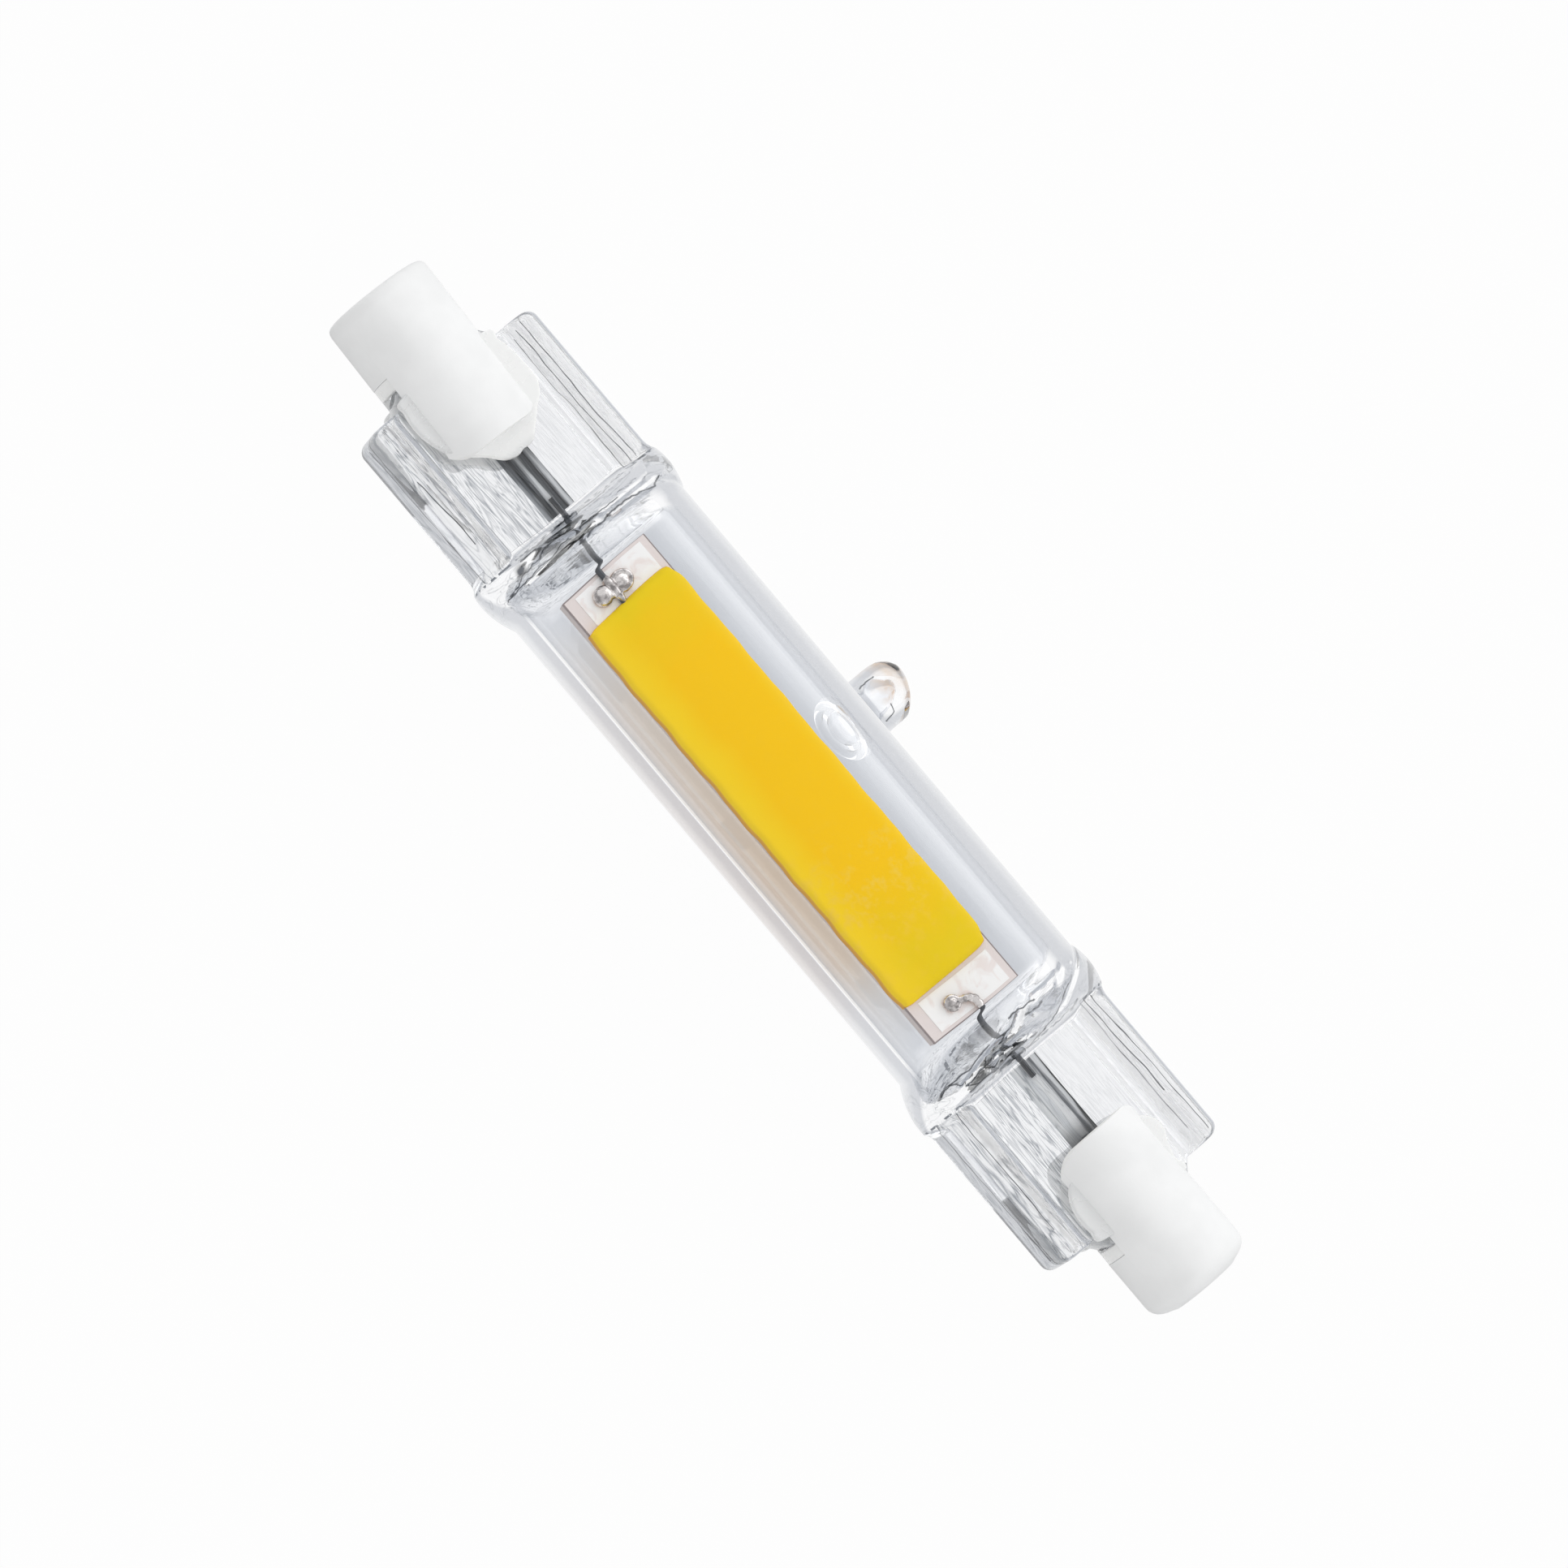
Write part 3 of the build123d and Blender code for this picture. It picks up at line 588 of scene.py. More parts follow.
def makeEnvelope():
    e = envelope
    skin = blowGlass()
    sideways = Matrix.Translation((tip["x"], 0, 0)) @ Matrix.Rotation(-(90 + tip["below"]) * deg, 4, "X")
    nub = turnFromDisc("tip", tip["outside"], tip["ring"], Matrix())
    for vertex in nub.data.vertices:
        sink = easeBoth(*tip["slantFrom"], vertex.co.z) * tip["slant"] * max(vertex.co.x + tip["slantHinge"], 0)
        vertex.co.z -= sink
    nub.data.transform(sideways)
    useBoolean(skin, nub, "UNION")
    gap, count = e["hollowRings"]
    stations = [e["hollowStart"] + gap * i for i in range(1, count + 1)]
    stations += [e["hollowEnd"] - e["hollowRound"] * (1 - math.sin(a * deg)) for a in hollowSteps]
    hollow = tubeWithEnds("hollow", e["hollowRing"], lamp["hollowRadius"], e["hollowStart"],
                          sorted(set(round(s, 3) for s in stations)))
    hollowEnds(hollow)
    closeEnds(hollow)
    # a collar of glass stands up inside the tube round the exhaust's mouth
    deselect()
    bpy.ops.mesh.primitive_torus_add(major_radius=tip["collar"][1], minor_radius=tip["collar"][2],
                                     major_segments=56, minor_segments=14, location=(0, 0, tip["collar"][0]))
    collar = shaped()
    collar.data.transform(sideways)
    useBoolean(hollow, collar, "DIFFERENCE")
    bore = turnFromDisc("bore", tip["bore"], tip["boreRing"], Matrix())
    for vertex in bore.data.vertices:
        uneven = tip["boreUneven"] * easeBoth(*tip["unevenFrom"], vertex.co.z)
        vertex.co.x += uneven * math.sin(2.1 * vertex.co.z + 3 * vertex.co.y)
        vertex.co.y += uneven * math.sin(2.6 * vertex.co.z + 4 * vertex.co.x)
        vertex.co.z += uneven * 1.6 * math.sin(2.3 * vertex.co.x + 1)
    bore.data.transform(sideways)
    useBoolean(hollow, bore, "UNION")
    editAll(hollow)
    bpy.ops.mesh.flip_normals()
    bpy.ops.object.mode_set(mode="OBJECT")
    joinAll([skin, hollow], "glass")
    finishPiece(skin, "glass", "glass_envelope", pressedGlass(), 40)


makeEnvelope()
print("glass envelope made")


# Cap: steatite ceramic, pressed dry and fired without a glaze. It looks chalk white and matt, with a very fine grain
# and a faint cloudiness, and its free edge gets rubbed grey.
ceramicLook = {"body": "F4F5F6", "cloud": "EFF0F1", "rubbed": "DDDEDF", "cloudWidth": 3.5, "grain": 0.16,
               "roughness": 0.8, "relief": 0.006}


def firedCeramic():
    look = ceramicLook
    material, add = newMaterial("unglazed steatite")
    place, x = lampCoordinates(add)[:2]
    clouds = add("TexNoise", {"Vector": place, "Scale": 1 / look["cloudWidth"], "Detail": 3.0})
    cloudShare = add("ValToRGB", {"Fac": clouds}, stops=[(0.42, 0.0), (0.65, 1.0)])
    outward = add("Math", {0: x}, operation="ABSOLUTE")
    atRim = add("MapRange", {"Value": outward, "From Min": 38.3, "From Max": 39.2, "To Max": 0.7})
    scuffs = add("TexNoise", {"Vector": place, "Scale": 1.6, "Detail": 4.0, "Roughness": 0.7})
    rubbedShare = add("Math", {0: atRim, 1: scuffs}, operation="MULTIPLY")
    colour = layColours(add, look["body"], (cloudShare, look["cloud"]), (rubbedShare, look["rubbed"]))
    grain = add("TexNoise", {"Vector": place, "Scale": 1 / look["grain"], "Detail": 2.0})
    rough = add("MapRange", {"Value": clouds, "To Min": look["roughness"] - 0.08, "To Max": look["roughness"] + 0.08})
    return finishMaterial(material, add, {"Base Color": colour, "Roughness": rough, "IOR": 1.55,
                                          "Specular IOR Level": 0.25}, (grain, 0.6, look["relief"]))


# ceramic caps, turned from their inner end outwards: the free end with its recess, the seat of the contact button and
# the bore for its stem; the corners are those of the cheeks, on the side of the tip and on the other
caps = {
    "ring": 80, "innerEnd": 27.55, "radius": 3.65, "slotFloor": 34.45, "slotHalf": 1.62, "edge": 0.16,
    -1: {"node": "ceramic_cap_left", "shift": -0.53, "lean": 2.4, "corners": (1.8, 1.9),
         "rim": [(38.58, 3.65), (38.8, 3.62), (38.97, 3.54), (39.08, 3.4), (39.13, 3.22), (39.14, 3.0)]},
    1: {"node": "ceramic_cap_right", "shift": -0.45, "lean": 0.0, "corners": (1.5, 2.2),
        "rim": [(37.9, 3.65), (38.15, 3.62), (38.4, 3.52), (38.62, 3.36), (38.8, 3.12), (38.94, 2.82), (39.05, 2.5)]},
    "recess": [(39.15, 2.26), (39.14, 2.14), (39.08, 2.04), (38.95, 2.0), (37.45, 2.0), (37.45, 1.8), (37.2, 1.8),
               (37.2, 0.72), (34.2, 0.72)],
}


def capPlace(side):
    c = caps[side]
    mirrored = Matrix.Scale(side, 4, (1, 0, 0))
    return mirrored @ Matrix.Translation((caps["innerEnd"], c["shift"], 0)) @ \
        Matrix.Rotation(c["lean"] * deg, 4, "Z") @ Matrix.Translation((-caps["innerEnd"], 0, 0))


def makeCap(side, material):
    c = caps[side]
    r, start = caps["radius"], caps["innerEnd"]
    stations = [(h, w, 0.0) for h, w in [(start, r)] + c["rim"] + caps["recess"]]
    cap = turnFromDisc("cap", stations, caps["ring"], Matrix.Rotation(math.pi / 2, 4, "Y"))
    deselect()
    bpy.ops.mesh.primitive_cube_add(size=2, location=(start + 0.2, 0, 0))
    slot = shaped((caps["slotFloor"] - start - 0.2, 2 * r, caps["slotHalf"]))
    useBoolean(cap, slot, "DIFFERENCE")
    # the cheeks' corners, rounded in plan
    deselect()
    bpy.ops.mesh.primitive_plane_add(size=2, location=(start + 10, 0, -2 * r))
    plan = shaped((10, r, 1))
    for sign, radius in zip((1, -1), c["corners"]):
        selectVertices(plan, lambda p: p.x < start + 0.01 and p.y * sign > r - 0.01)
        bpy.ops.mesh.bevel(offset=radius, segments=9, affect="VERTICES")
    drawOut(plan, (0, 0, 4 * r))
    useBoolean(cap, plan, "INTERSECT")
    useModifier(cap, "BEVEL", width=caps["edge"], segments=3, limit_method="ANGLE", angle_limit=55 * deg)
    cap.data.transform(capPlace(side))
    faceOut(cap)
    return cap


# Cement: sodium silicate that was pressed out of the slot as a soft bead. It looks clear and wet where it is thick, and
# milky white where it dried thin, at the left cap's nose.
cementLook = {"body": "FAFBFC", "cloud": "EDF0F3", "milk": "FAFBFB", "bubble": 0.35, "relief": 0.03}


def silicateCement():
    look = cementLook
    material, add = newMaterial("silicate cement")
    place, x, y = lampCoordinates(add)[:3]
    clouds = add("TexNoise", {"Vector": place, "Scale": 0.7, "Detail": 3.0})
    bubbles = add("TexVoronoi", {"Vector": place, "Scale": 1 / look["bubble"]}, feature="SMOOTH_F1")
    rough = add("MapRange", {"Value": clouds, "From Min": 0.3, "From Max": 0.7, "To Min": 0.12, "To Max": 0.4})
    # milky round the nose, clearer in the lobes below
    low = add("MapRange", {"Value": y, "From Min": -3.3, "From Max": -2.3, "To Min": 0.55})
    outward = add("Math", {0: x}, operation="ABSOLUTE")
    nose = add("MapRange", {"Value": outward, "From Min": 25.7, "From Max": 26.5})
    milkShare = add("Math", {0: low, 1: nose}, operation="MULTIPLY")
    inSlot = add("MapRange", {"Value": outward, "From Min": 33.45, "From Max": 33.7})
    milkShare = add("Math", {0: milkShare, 1: inSlot}, operation="MAXIMUM")
    colour = layColours(add, look["body"], (clouds, look["cloud"]), (milkShare, look["milk"]))
    clarity = add("MapRange", {"Value": milkShare, "To Min": 0.45, "To Max": 0.08})
    # light that runs inside the glass passes it by
    path = add("LightPath")
    caught = add("Math", {0: path.outputs["Glossy Depth"], 1: 0.5}, operation="GREATER_THAN")
    return finishMaterial(material, add, {"Base Color": colour, "Roughness": rough, "IOR": 1.46,
                                          "Transmission Weight": clarity}, (bubbles, 0.5, look["relief"]), caught)


# beads of cement by their outline on the web, outwards and across, and how far they stand from it
cement = {
    -1: {"node": "cap_cement_left", "points": [
        (33.1, 3.0), (32.2, 3.5), (31.2, 3.75), (30.0, 3.85), (28.9, 3.8), (28.1, 3.35), (27.5, 2.62), (26.7, 1.75),
        (26.05, 0.95), (26.1, 0.25), (25.95, -0.3), (26.25, -1.1), (27.0, -1.8), (27.5, -2.4), (28.1, -3.15),
        (29.1, -3.85), (30.7, -4.3), (32.2, -4.15), (33.1, -3.5)]},
    1: {"node": "cap_cement_right", "points": [
        (33.1, 2.4), (32.0, 2.7), (31.0, 3.0), (30.2, 3.4), (29.4, 3.3), (28.7, 2.7), (27.9, 1.4), (27.7, 0.0),
        (27.9, -1.3), (28.3, -2.3), (28.8, -3.2), (29.5, -4.0), (30.6, -4.5), (32.0, -4.5), (33.0, -3.9)]},
    "sunk": 0.03, "stand": 0.62, "voxel": 0.09, "count": 120,
    "plug": {"from": 33.6, "to": 34.43, "radius": 3.6, "aside": 2.6, "edge": 0.1, "play": 0.02},
}


def smoothLoop(points, count):
    # a closed curve through the points
    loop = []
    for i in range(count):
        at = len(points) * i / count
        k, t = int(at), at - int(at)
        a, b, c, d = [points[(k + j) % len(points)] for j in (-1, 0, 1, 2)]
        loop.append(tuple(0.5 * (2 * b[j] + (c[j] - a[j]) * t + (2 * a[j] - 5 * b[j] + 4 * c[j] - d[j]) * t * t
                                 + (3 * b[j] - a[j] - 3 * c[j] + d[j]) * t ** 3) for j in (0, 1)))
    return loop


def makeCement(side, cap, material):
    beads = []
    for face in (1, -1):
        deselect()
        bpy.ops.mesh.primitive_circle_add(vertices=cement["count"], radius=1, fill_type="NGON")
        bead = bpy.context.active_object
        base = (envelope["webHalf"] - cement["sunk"]) * face
        for vertex, (out, across) in zip(bead.data.vertices, smoothLoop(cement[side]["points"], cement["count"])):
            vertex.co = Vector((out * side, across, base))
        faceOut(bead)
        drawOut(bead, (0, 0, cement["stand"] * face))
        beads.append(bead)
    bead = joinAll(beads, "cement")
    useModifier(bead, "REMESH", mode="VOXEL", voxel_size=cement["voxel"], use_smooth_shade=True)
    useModifier(bead, "SMOOTH", factor=0.5, iterations=9)
    # what fills the open sides of the slot behind the glass
    p = cement["plug"]
    stations = [(p["from"], p["radius"] - p["edge"], 0.0), (p["from"] + p["edge"], p["radius"], 0.0),
                (p["to"], p["radius"], 0.0)]
    plug = turnFromDisc("plug", stations, caps["ring"], Matrix.Rotation(math.pi / 2, 4, "Y"))
    for vertex in plug.data.vertices:
        vertex.co.z = min(max(vertex.co.z, p["play"] - caps["slotHalf"]), caps["slotHalf"] - p["play"])
    deselect()
    bpy.ops.mesh.primitive_cube_add(size=2, location=(p["from"], 0, 0))
    useBoolean(plug, shaped((2, p["aside"], 2)), "DIFFERENCE")
    plug.data.transform(capPlace(side))
    faceOut(plug)
    bead = joinAll([bead, plug], "cement")
    tool = cap.copy()
    tool.data = cap.data.copy()
    bpy.context.scene.collection.objects.link(tool)
    useBoolean(bead, tool, "DIFFERENCE")
    finishPiece(bead, "cement_" + ("left" if side < 0 else "right"), cement[side]["node"], material, 50)


ceramic, silicate = firedCeramic(), silicateCement()
for side in (-1, 1):
    cap = makeCap(side, ceramic)
    makeCement(side, cap, silicate)
    finishPiece(cap, "cap_" + ("left" if side < 0 else "right"), caps[side]["node"], ceramic, 38)
print("caps and cement made")


# Phosphor: silicone loaded with yellow phosphor, poured over the chips and cured. It looks satin and thick, deep
# yellow in the middle, greener where it thins towards its ends, with fine grains and paler patches.
phosphorLook = {"body": "FFCA00", "thin": "F0D00C", "pale": "FFD91E", "patch": "F9CF45", "edge": "DDA648",
                "grain": 0.12, "relief": 0.012}
phosphor = {
    "left": -15.28, "right": (14.72, 14.98), "half": 3.66, "middle": -0.07, "base": -0.24, "side": 0.34,
    "crown": 0.3, "round": 0.42, "lap": 0.24, "boardHalf": 3.5, "steps": (190, 46), "wave": 0.035, "ripples": (19, 43),
    "cornerSweep": 0.38, "lowerCorner": 0.35, "endSweep": 0.12, "rise": 0.12, "overhang": 0.05,
}


def curedPhosphor():
    look = phosphorLook
    material, add = newMaterial("phosphor in silicone")
    place, x, y, z = lampCoordinates(add)
    drift = add("TexNoise", {"Vector": place, "Scale": 0.35, "Detail": 3.0})
    wander = add("Math", {0: drift, 1: 5.0, 2: -2.5}, operation="MULTIPLY_ADD")
    # greener towards both ends, over a longer way at the right one
    along = add("Math", {0: x, 1: wander}, operation="ADD")
    endShare = add("ValToRGB", {"Fac": add("MapRange", {"Value": along, "From Min": -16.0, "From Max": 16.0})},
        stops=[(0.03, 1.0), (0.09, 0.45), (0.2, 0.0), (0.7, 0.0), (0.8, 0.35), (0.9, 0.95), (0.97, 1.0)])
    # paler along both edges, more so along the lower one
    across = add("MapRange", {"Value": add("Math", {0: wander, 1: 0.25, 2: y}, operation="MULTIPLY_ADD"),
        "From Min": -3.7, "From Max": 3.6})
    paleShare = add("ValToRGB", {"Fac": across}, stops=[(0.0, 1.0), (0.12, 0.75), (0.32, 0.0), (0.84, 0.0),
        (1.0, 0.5)])
    # a mottled zone before the right end
    mottle = add("TexNoise", {"Vector": place, "Scale": 1.1, "Detail": 4.0, "Roughness": 0.65})
    mottled = add("ValToRGB", {"Fac": mottle}, stops=[(0.5, 0.0), (0.66, 0.85)])
    zone = add("ValToRGB", {"Fac": add("MapRange", {"Value": along, "From Min": 3.0, "From Max": 15.0})},
        stops=[(0.0, 0.04), (0.3, 0.9), (0.5, 0.9), (0.75, 0.3), (1.0, 0.3)])
    patchShare = add("Math", {0: mottled, 1: zone}, operation="MULTIPLY")
    # painted shade: its sides are browner than its top
    low = add("MapRange", {"Value": z, "From Min": 0.02, "From Max": -0.16})
    colour = layColours(add, look["body"], (endShare, look["thin"]), (paleShare, look["pale"]),
                        (patchShare, look["patch"]), (low, look["edge"]))
    grain = add("TexNoise", {"Vector": place, "Scale": 1 / look["grain"], "Detail": 2.0})
    swell = add("Math", {0: drift, 1: 6.0, 2: grain}, operation="MULTIPLY_ADD")
    rough = add("MapRange", {"Value": mottle, "To Min": 0.42, "To Max": 0.62})
    return finishMaterial(material, add, {"Base Color": colour, "Roughness": rough, "IOR": 1.41,
                                          "Specular IOR Level": 0.03}, (swell, 0.5, look["relief"]))


def pourPhosphor():
    p = phosphor
    deselect()
    bpy.ops.mesh.primitive_grid_add(x_subdivisions=p["steps"][0], y_subdivisions=p["steps"][1], size=2)
    layer = bpy.context.active_object
    editAll(layer)
    bpy.ops.mesh.extrude_region_move(TRANSFORM_OT_translate={"value": (0, 0, 1)})
    bpy.ops.object.mode_set(mode="OBJECT")
    for vertex in layer.data.vertices:
        u, v, top = vertex.co
        fullEnd = p["right"][0] + (p["right"][1] - p["right"][0]) * (1 - v) / 2 if u > 0 else -p["left"]
        wave = p["wave"] * (math.sin(u * p["ripples"][0] + v) + 0.6 * math.sin(u * p["ripples"][1] + 2 * v))
        # the corners sweep in where the silicone ran short of them
        corner = p["cornerSweep"] * easeBoth(0.9, 1.0, abs(u)) ** 2 * (1.0 if v > 0 else p["lowerCorner"])
        end = fullEnd - p["endSweep"] * easeBoth(0.75, 1.0, abs(v)) ** 2
        x = math.copysign(abs(u) * end + wave * abs(u) ** 12, u)
        y = v * (p["half"] - corner) + wave * abs(v) ** 8
        rimward = min((1 - abs(u)) * fullEnd, (1 - abs(v)) * p["half"])
        z = p["base"]
        if top > 0.5:
            lift = math.sqrt(max(1 - (1 - min(rimward / p["round"], 1.0)) ** 2, 0.0))
            z = p["base"] + p["rise"] + (p["side"] + p["crown"] * (1 - v * v)) * lift
        elif abs(y) > p["boardHalf"] + 0.02:
            z = p["base"] - p["lap"]
        if top > 0.5 and abs(v) > 0.999:
            z = p["base"] - p["overhang"]
        vertex.co = Vector((x, y + p["middle"], z))
    faceOut(layer)
    finishPiece(layer, "phosphor", "phosphor_layer", curedPhosphor(), 60)


pourPhosphor()
print("phosphor poured")


# Solder: tin-silver-copper, reflowed by hand with rosin flux. It looks like a bright grey drop, pinkish where it wets
# the board's silver, with amber flux baked round its foot.
solderLook = {"metal": "E8E3E1", "dull": "8F8A89", "flux": "B07A42"}


def handSolder():
    look = solderLook
    material, add = newMaterial("tin solder with flux")
    place, x, y, z = lampCoordinates(add)
    clouds = add("TexNoise", {"Vector": place, "Scale": 2.4, "Detail": 3.0})
    dullShare = add("ValToRGB", {"Fac": clouds}, stops=[(0.4, 0.0), (0.62, 1.0)])
    foot = add("MapRange", {"Value": z, "From Min": 0.08, "From Max": -0.12})
    side = add("MapRange", {"Value": clouds, "From Min": 0.36, "From Max": 0.5})
    fluxShare = add("Math", {0: foot, 1: side}, operation="MULTIPLY")
    colour = layColours(add, look["metal"], (dullShare, look["dull"]), (fluxShare, look["flux"]))
    bare = add("Math", {0: 1.0, 1: fluxShare}, operation="SUBTRACT")
    rough = add("MapRange", {"Value": clouds, "To Min": 0.14, "To Max": 0.4})
    return finishMaterial(material, add, {"Base Color": colour, "Metallic": bare, "Roughness": rough},
                          (clouds, 0.6, 0.08))


# drops by place, half size; rings by place, radius, thickness, stretch across; a spike by its ends and radii
solder = {
    "left": {"drops": [(-16.35, -1.32, 0.0, 0.66, 0.68, 0.48), (-16.4, -0.5, 0.02, 0.95, 0.32, 0.3),
                       (-16.25, -0.9, 0.0, 0.5, 0.45, 0.32), (-16.3, 0.2, -0.1, 0.5, 0.62, 0.26)],
             "rings": [(-16.3, 0.24, -0.06, 0.56, 0.17, 1.2)],
             "spikes": [((-15.75, -0.5), (-14.95, -0.47), 0.3, 0.05)]},
    "right": {"drops": [(16.37, -1.12, 0.0, 0.34, 0.34, 0.3), (17.35, 0.2, 0.02, 0.36, 0.29, 0.3),
                        (17.0, 0.17, 0.02, 0.32, 0.29, 0.29), (16.75, -0.02, 0.02, 0.3, 0.28, 0.28),
                        (16.6, -0.3, 0.02, 0.28, 0.3, 0.27), (16.5, -0.6, 0.02, 0.26, 0.3, 0.25)],
              "rings": [(16.37, -1.12, 0.0, 0.38, 0.19, 1.0)], "spikes": []},
    "padTop": -0.17, "spikeHeight": 0.08, "voxel": 0.045,
}


def meltSolder(name, material):
    parts = []
    for x, y, z, a, b, c in solder[name]["drops"]:
        deselect()
        bpy.ops.mesh.primitive_uv_sphere_add(segments=32, ring_count=20, radius=1, location=(x, y, z))
        parts.append(shaped((a, b, c)))
    for x, y, z, radius, thick, stretch in solder[name]["rings"]:
        deselect()
        bpy.ops.mesh.primitive_torus_add(major_radius=radius, minor_radius=thick, major_segments=40,
                                         minor_segments=16, location=(x, y, z))
        parts.append(shaped((1, stretch, 1)))
    for a, b, wide, narrow in solder[name]["spikes"]:
        deselect()
        middle = ((a[0] + b[0]) / 2, (a[1] + b[1]) / 2, solder["spikeHeight"])
        bpy.ops.mesh.primitive_cone_add(vertices=24, radius1=wide, radius2=narrow, depth=math.dist(a, b),
                                        location=middle, rotation=(0, math.pi / 2, 0))
        parts.append(shaped())
    joint = joinAll(parts, "solder")
    useModifier(joint, "REMESH", mode="VOXEL", voxel_size=solder["voxel"], use_smooth_shade=True)
    useModifier(joint, "SMOOTH", factor=0.5, iterations=4)
    selectVertices(joint, lambda p: True)
    bpy.ops.mesh.bisect(plane_co=(0, 0, solder["padTop"]), plane_no=(0, 0, 1), clear_inner=True, use_fill=True)
    bpy.ops.object.mode_set(mode="OBJECT")
    finishPiece(joint, "solder_" + name, "solder_joint_" + name, material, 60)


tinSolder = handSolder()
for name in ("left", "right"):
    meltSolder(name, tinSolder)
print("joints soldered")


fineRelief = 0.01  # millimetres, of every finely textured small part

# Board: white alumina, scribed by laser and snapped. It looks pinkish grey, finely speckled, dark along its edges.
boardLook = {"body": "EEE4E1", "speck": "E6DBD8", "burnt": "8E8282", "half": 3.5, "middle": -0.07, "end": 17.7,
             "line": 0.07}


def alumina():
    look = boardLook
    material, add = newMaterial("alumina board")
    place, x, y, z = lampCoordinates(add)
    specks = add("TexNoise", {"Vector": place, "Scale": 5.0, "Detail": 3.0})
    aside = add("Math", {0: y, 1: look["middle"]}, operation="SUBTRACT")
    aside = add("Math", {0: aside}, operation="ABSOLUTE")
    sideLine = add("MapRange", {"Value": aside, "From Min": look["half"] - look["line"] - 0.03,
        "From Max": look["half"] - look["line"]})
    outward = add("Math", {0: x}, operation="ABSOLUTE")
    endLine = add("MapRange", {"Value": outward, "From Min": look["end"] - look["line"] - 0.03,
        "From Max": look["end"] - look["line"]})
    burnt = add("Math", {0: sideLine, 1: endLine}, operation="MAXIMUM")
    # the laser burnt only the upper part of the edge
    upper = add("MapRange", {"Value": z, "From Min": -0.5, "From Max": -0.3, "To Min": 0.35})
    burnt = add("Math", {0: burnt, 1: upper}, operation="MULTIPLY")
    colour = layColours(add, look["body"], (specks, look["speck"]), (burnt, look["burnt"]))
    return finishMaterial(material, add, {"Base Color": colour, "Roughness": 0.55, "IOR": 1.6,
                                          "Specular IOR Level": 0.3}, (specks, 0.4, fineRelief))


# Solder pad: thick-film silver, printed and fired. It looks almost white, with pinkish smears of flux.
def firedSilver():
    material, add = newMaterial("thick-film silver")
    place = lampCoordinates(add)[0]
    smears = add("TexNoise", {"Vector": place, "Scale": 0.9, "Detail": 3.0, "Distortion": 1.0})
    share = add("ValToRGB", {"Fac": smears}, stops=[(0.52, 0.0), (0.66, 1.0)])
    rough = add("MapRange", {"Value": smears, "To Min": 0.35, "To Max": 0.6})
    return finishMaterial(material, add, {"Base Color": layColours(add, "FFFEFD", (share, "F5ECE9")),
                                          "Roughness": rough, "Metallic": 0.1})


# Lead: drawn molybdenum wire, oxidised by the flame that pressed the seal. It looks nearly black, with drawing lines.
def drawnMolybdenum():
    material, add = newMaterial("oxidised molybdenum wire")
    place = lampCoordinates(add)[0]
    drawn = add("Mapping", {"Vector": place, "Scale": (0.4, 9.0, 9.0)})
    lines = add("TexNoise", {"Vector": drawn, "Scale": 1.0, "Detail": 2.0})
    return finishMaterial(material, add, {"Base Color": layColours(add, "3A3C40", (lines, "6B6E73")),
                                          "Metallic": 1.0, "Roughness": 0.42}, (lines, 0.4, fineRelief))


# Foil: molybdenum rolled to a ribbon with feathered edges and pressed into the glass, which wrinkled it. It looks dark
# grey with lengthwise bands of painted highlight and painted shade from those wrinkles. The bands run across from its
# lower to its upper edge.
foilLook = {
    -1: {"middle": 0.0, "along": [(0.0, 1.0), (0.45, 0.95), (0.7, 0.6), (0.85, 0.38), (1.0, 0.35)],
         "bands": [(0.0, "B9BDC3"), (0.12, "A4A9B0"), (0.2, "4E5258"), (0.28, "4E5258"), (0.34, "8A8F96"),
                   (0.44, "E4E7EA"), (0.53, "D9DCE0"), (0.6, "7B8086"), (0.71, "63676D"), (0.76, "17191C"),
                   (0.81, "B9BDC3"), (0.9, "E6E8EB"), (0.96, "C9CDD2"), (1.0, "3A3D42")]},
    1: {"middle": -0.32, "along": [(0.0, 1.0), (0.75, 0.97), (0.88, 0.6), (1.0, 0.4)],
        "bands": [(0.0, "D2D6DB"), (0.15, "F0F2F4"), (0.34, "D9DDE2"), (0.5, "F2F4F6"), (0.64, "E9EBEE"),
                  (0.73, "8D9198"), (0.78, "9A9EA5"), (0.85, "E6E8EB"), (0.92, "D5D8DC"), (0.96, "2E3136"),
                  (1.0, "6D7177")]},
    "half": 1.05, "inner": 21.7, "outer": 27.7,
}


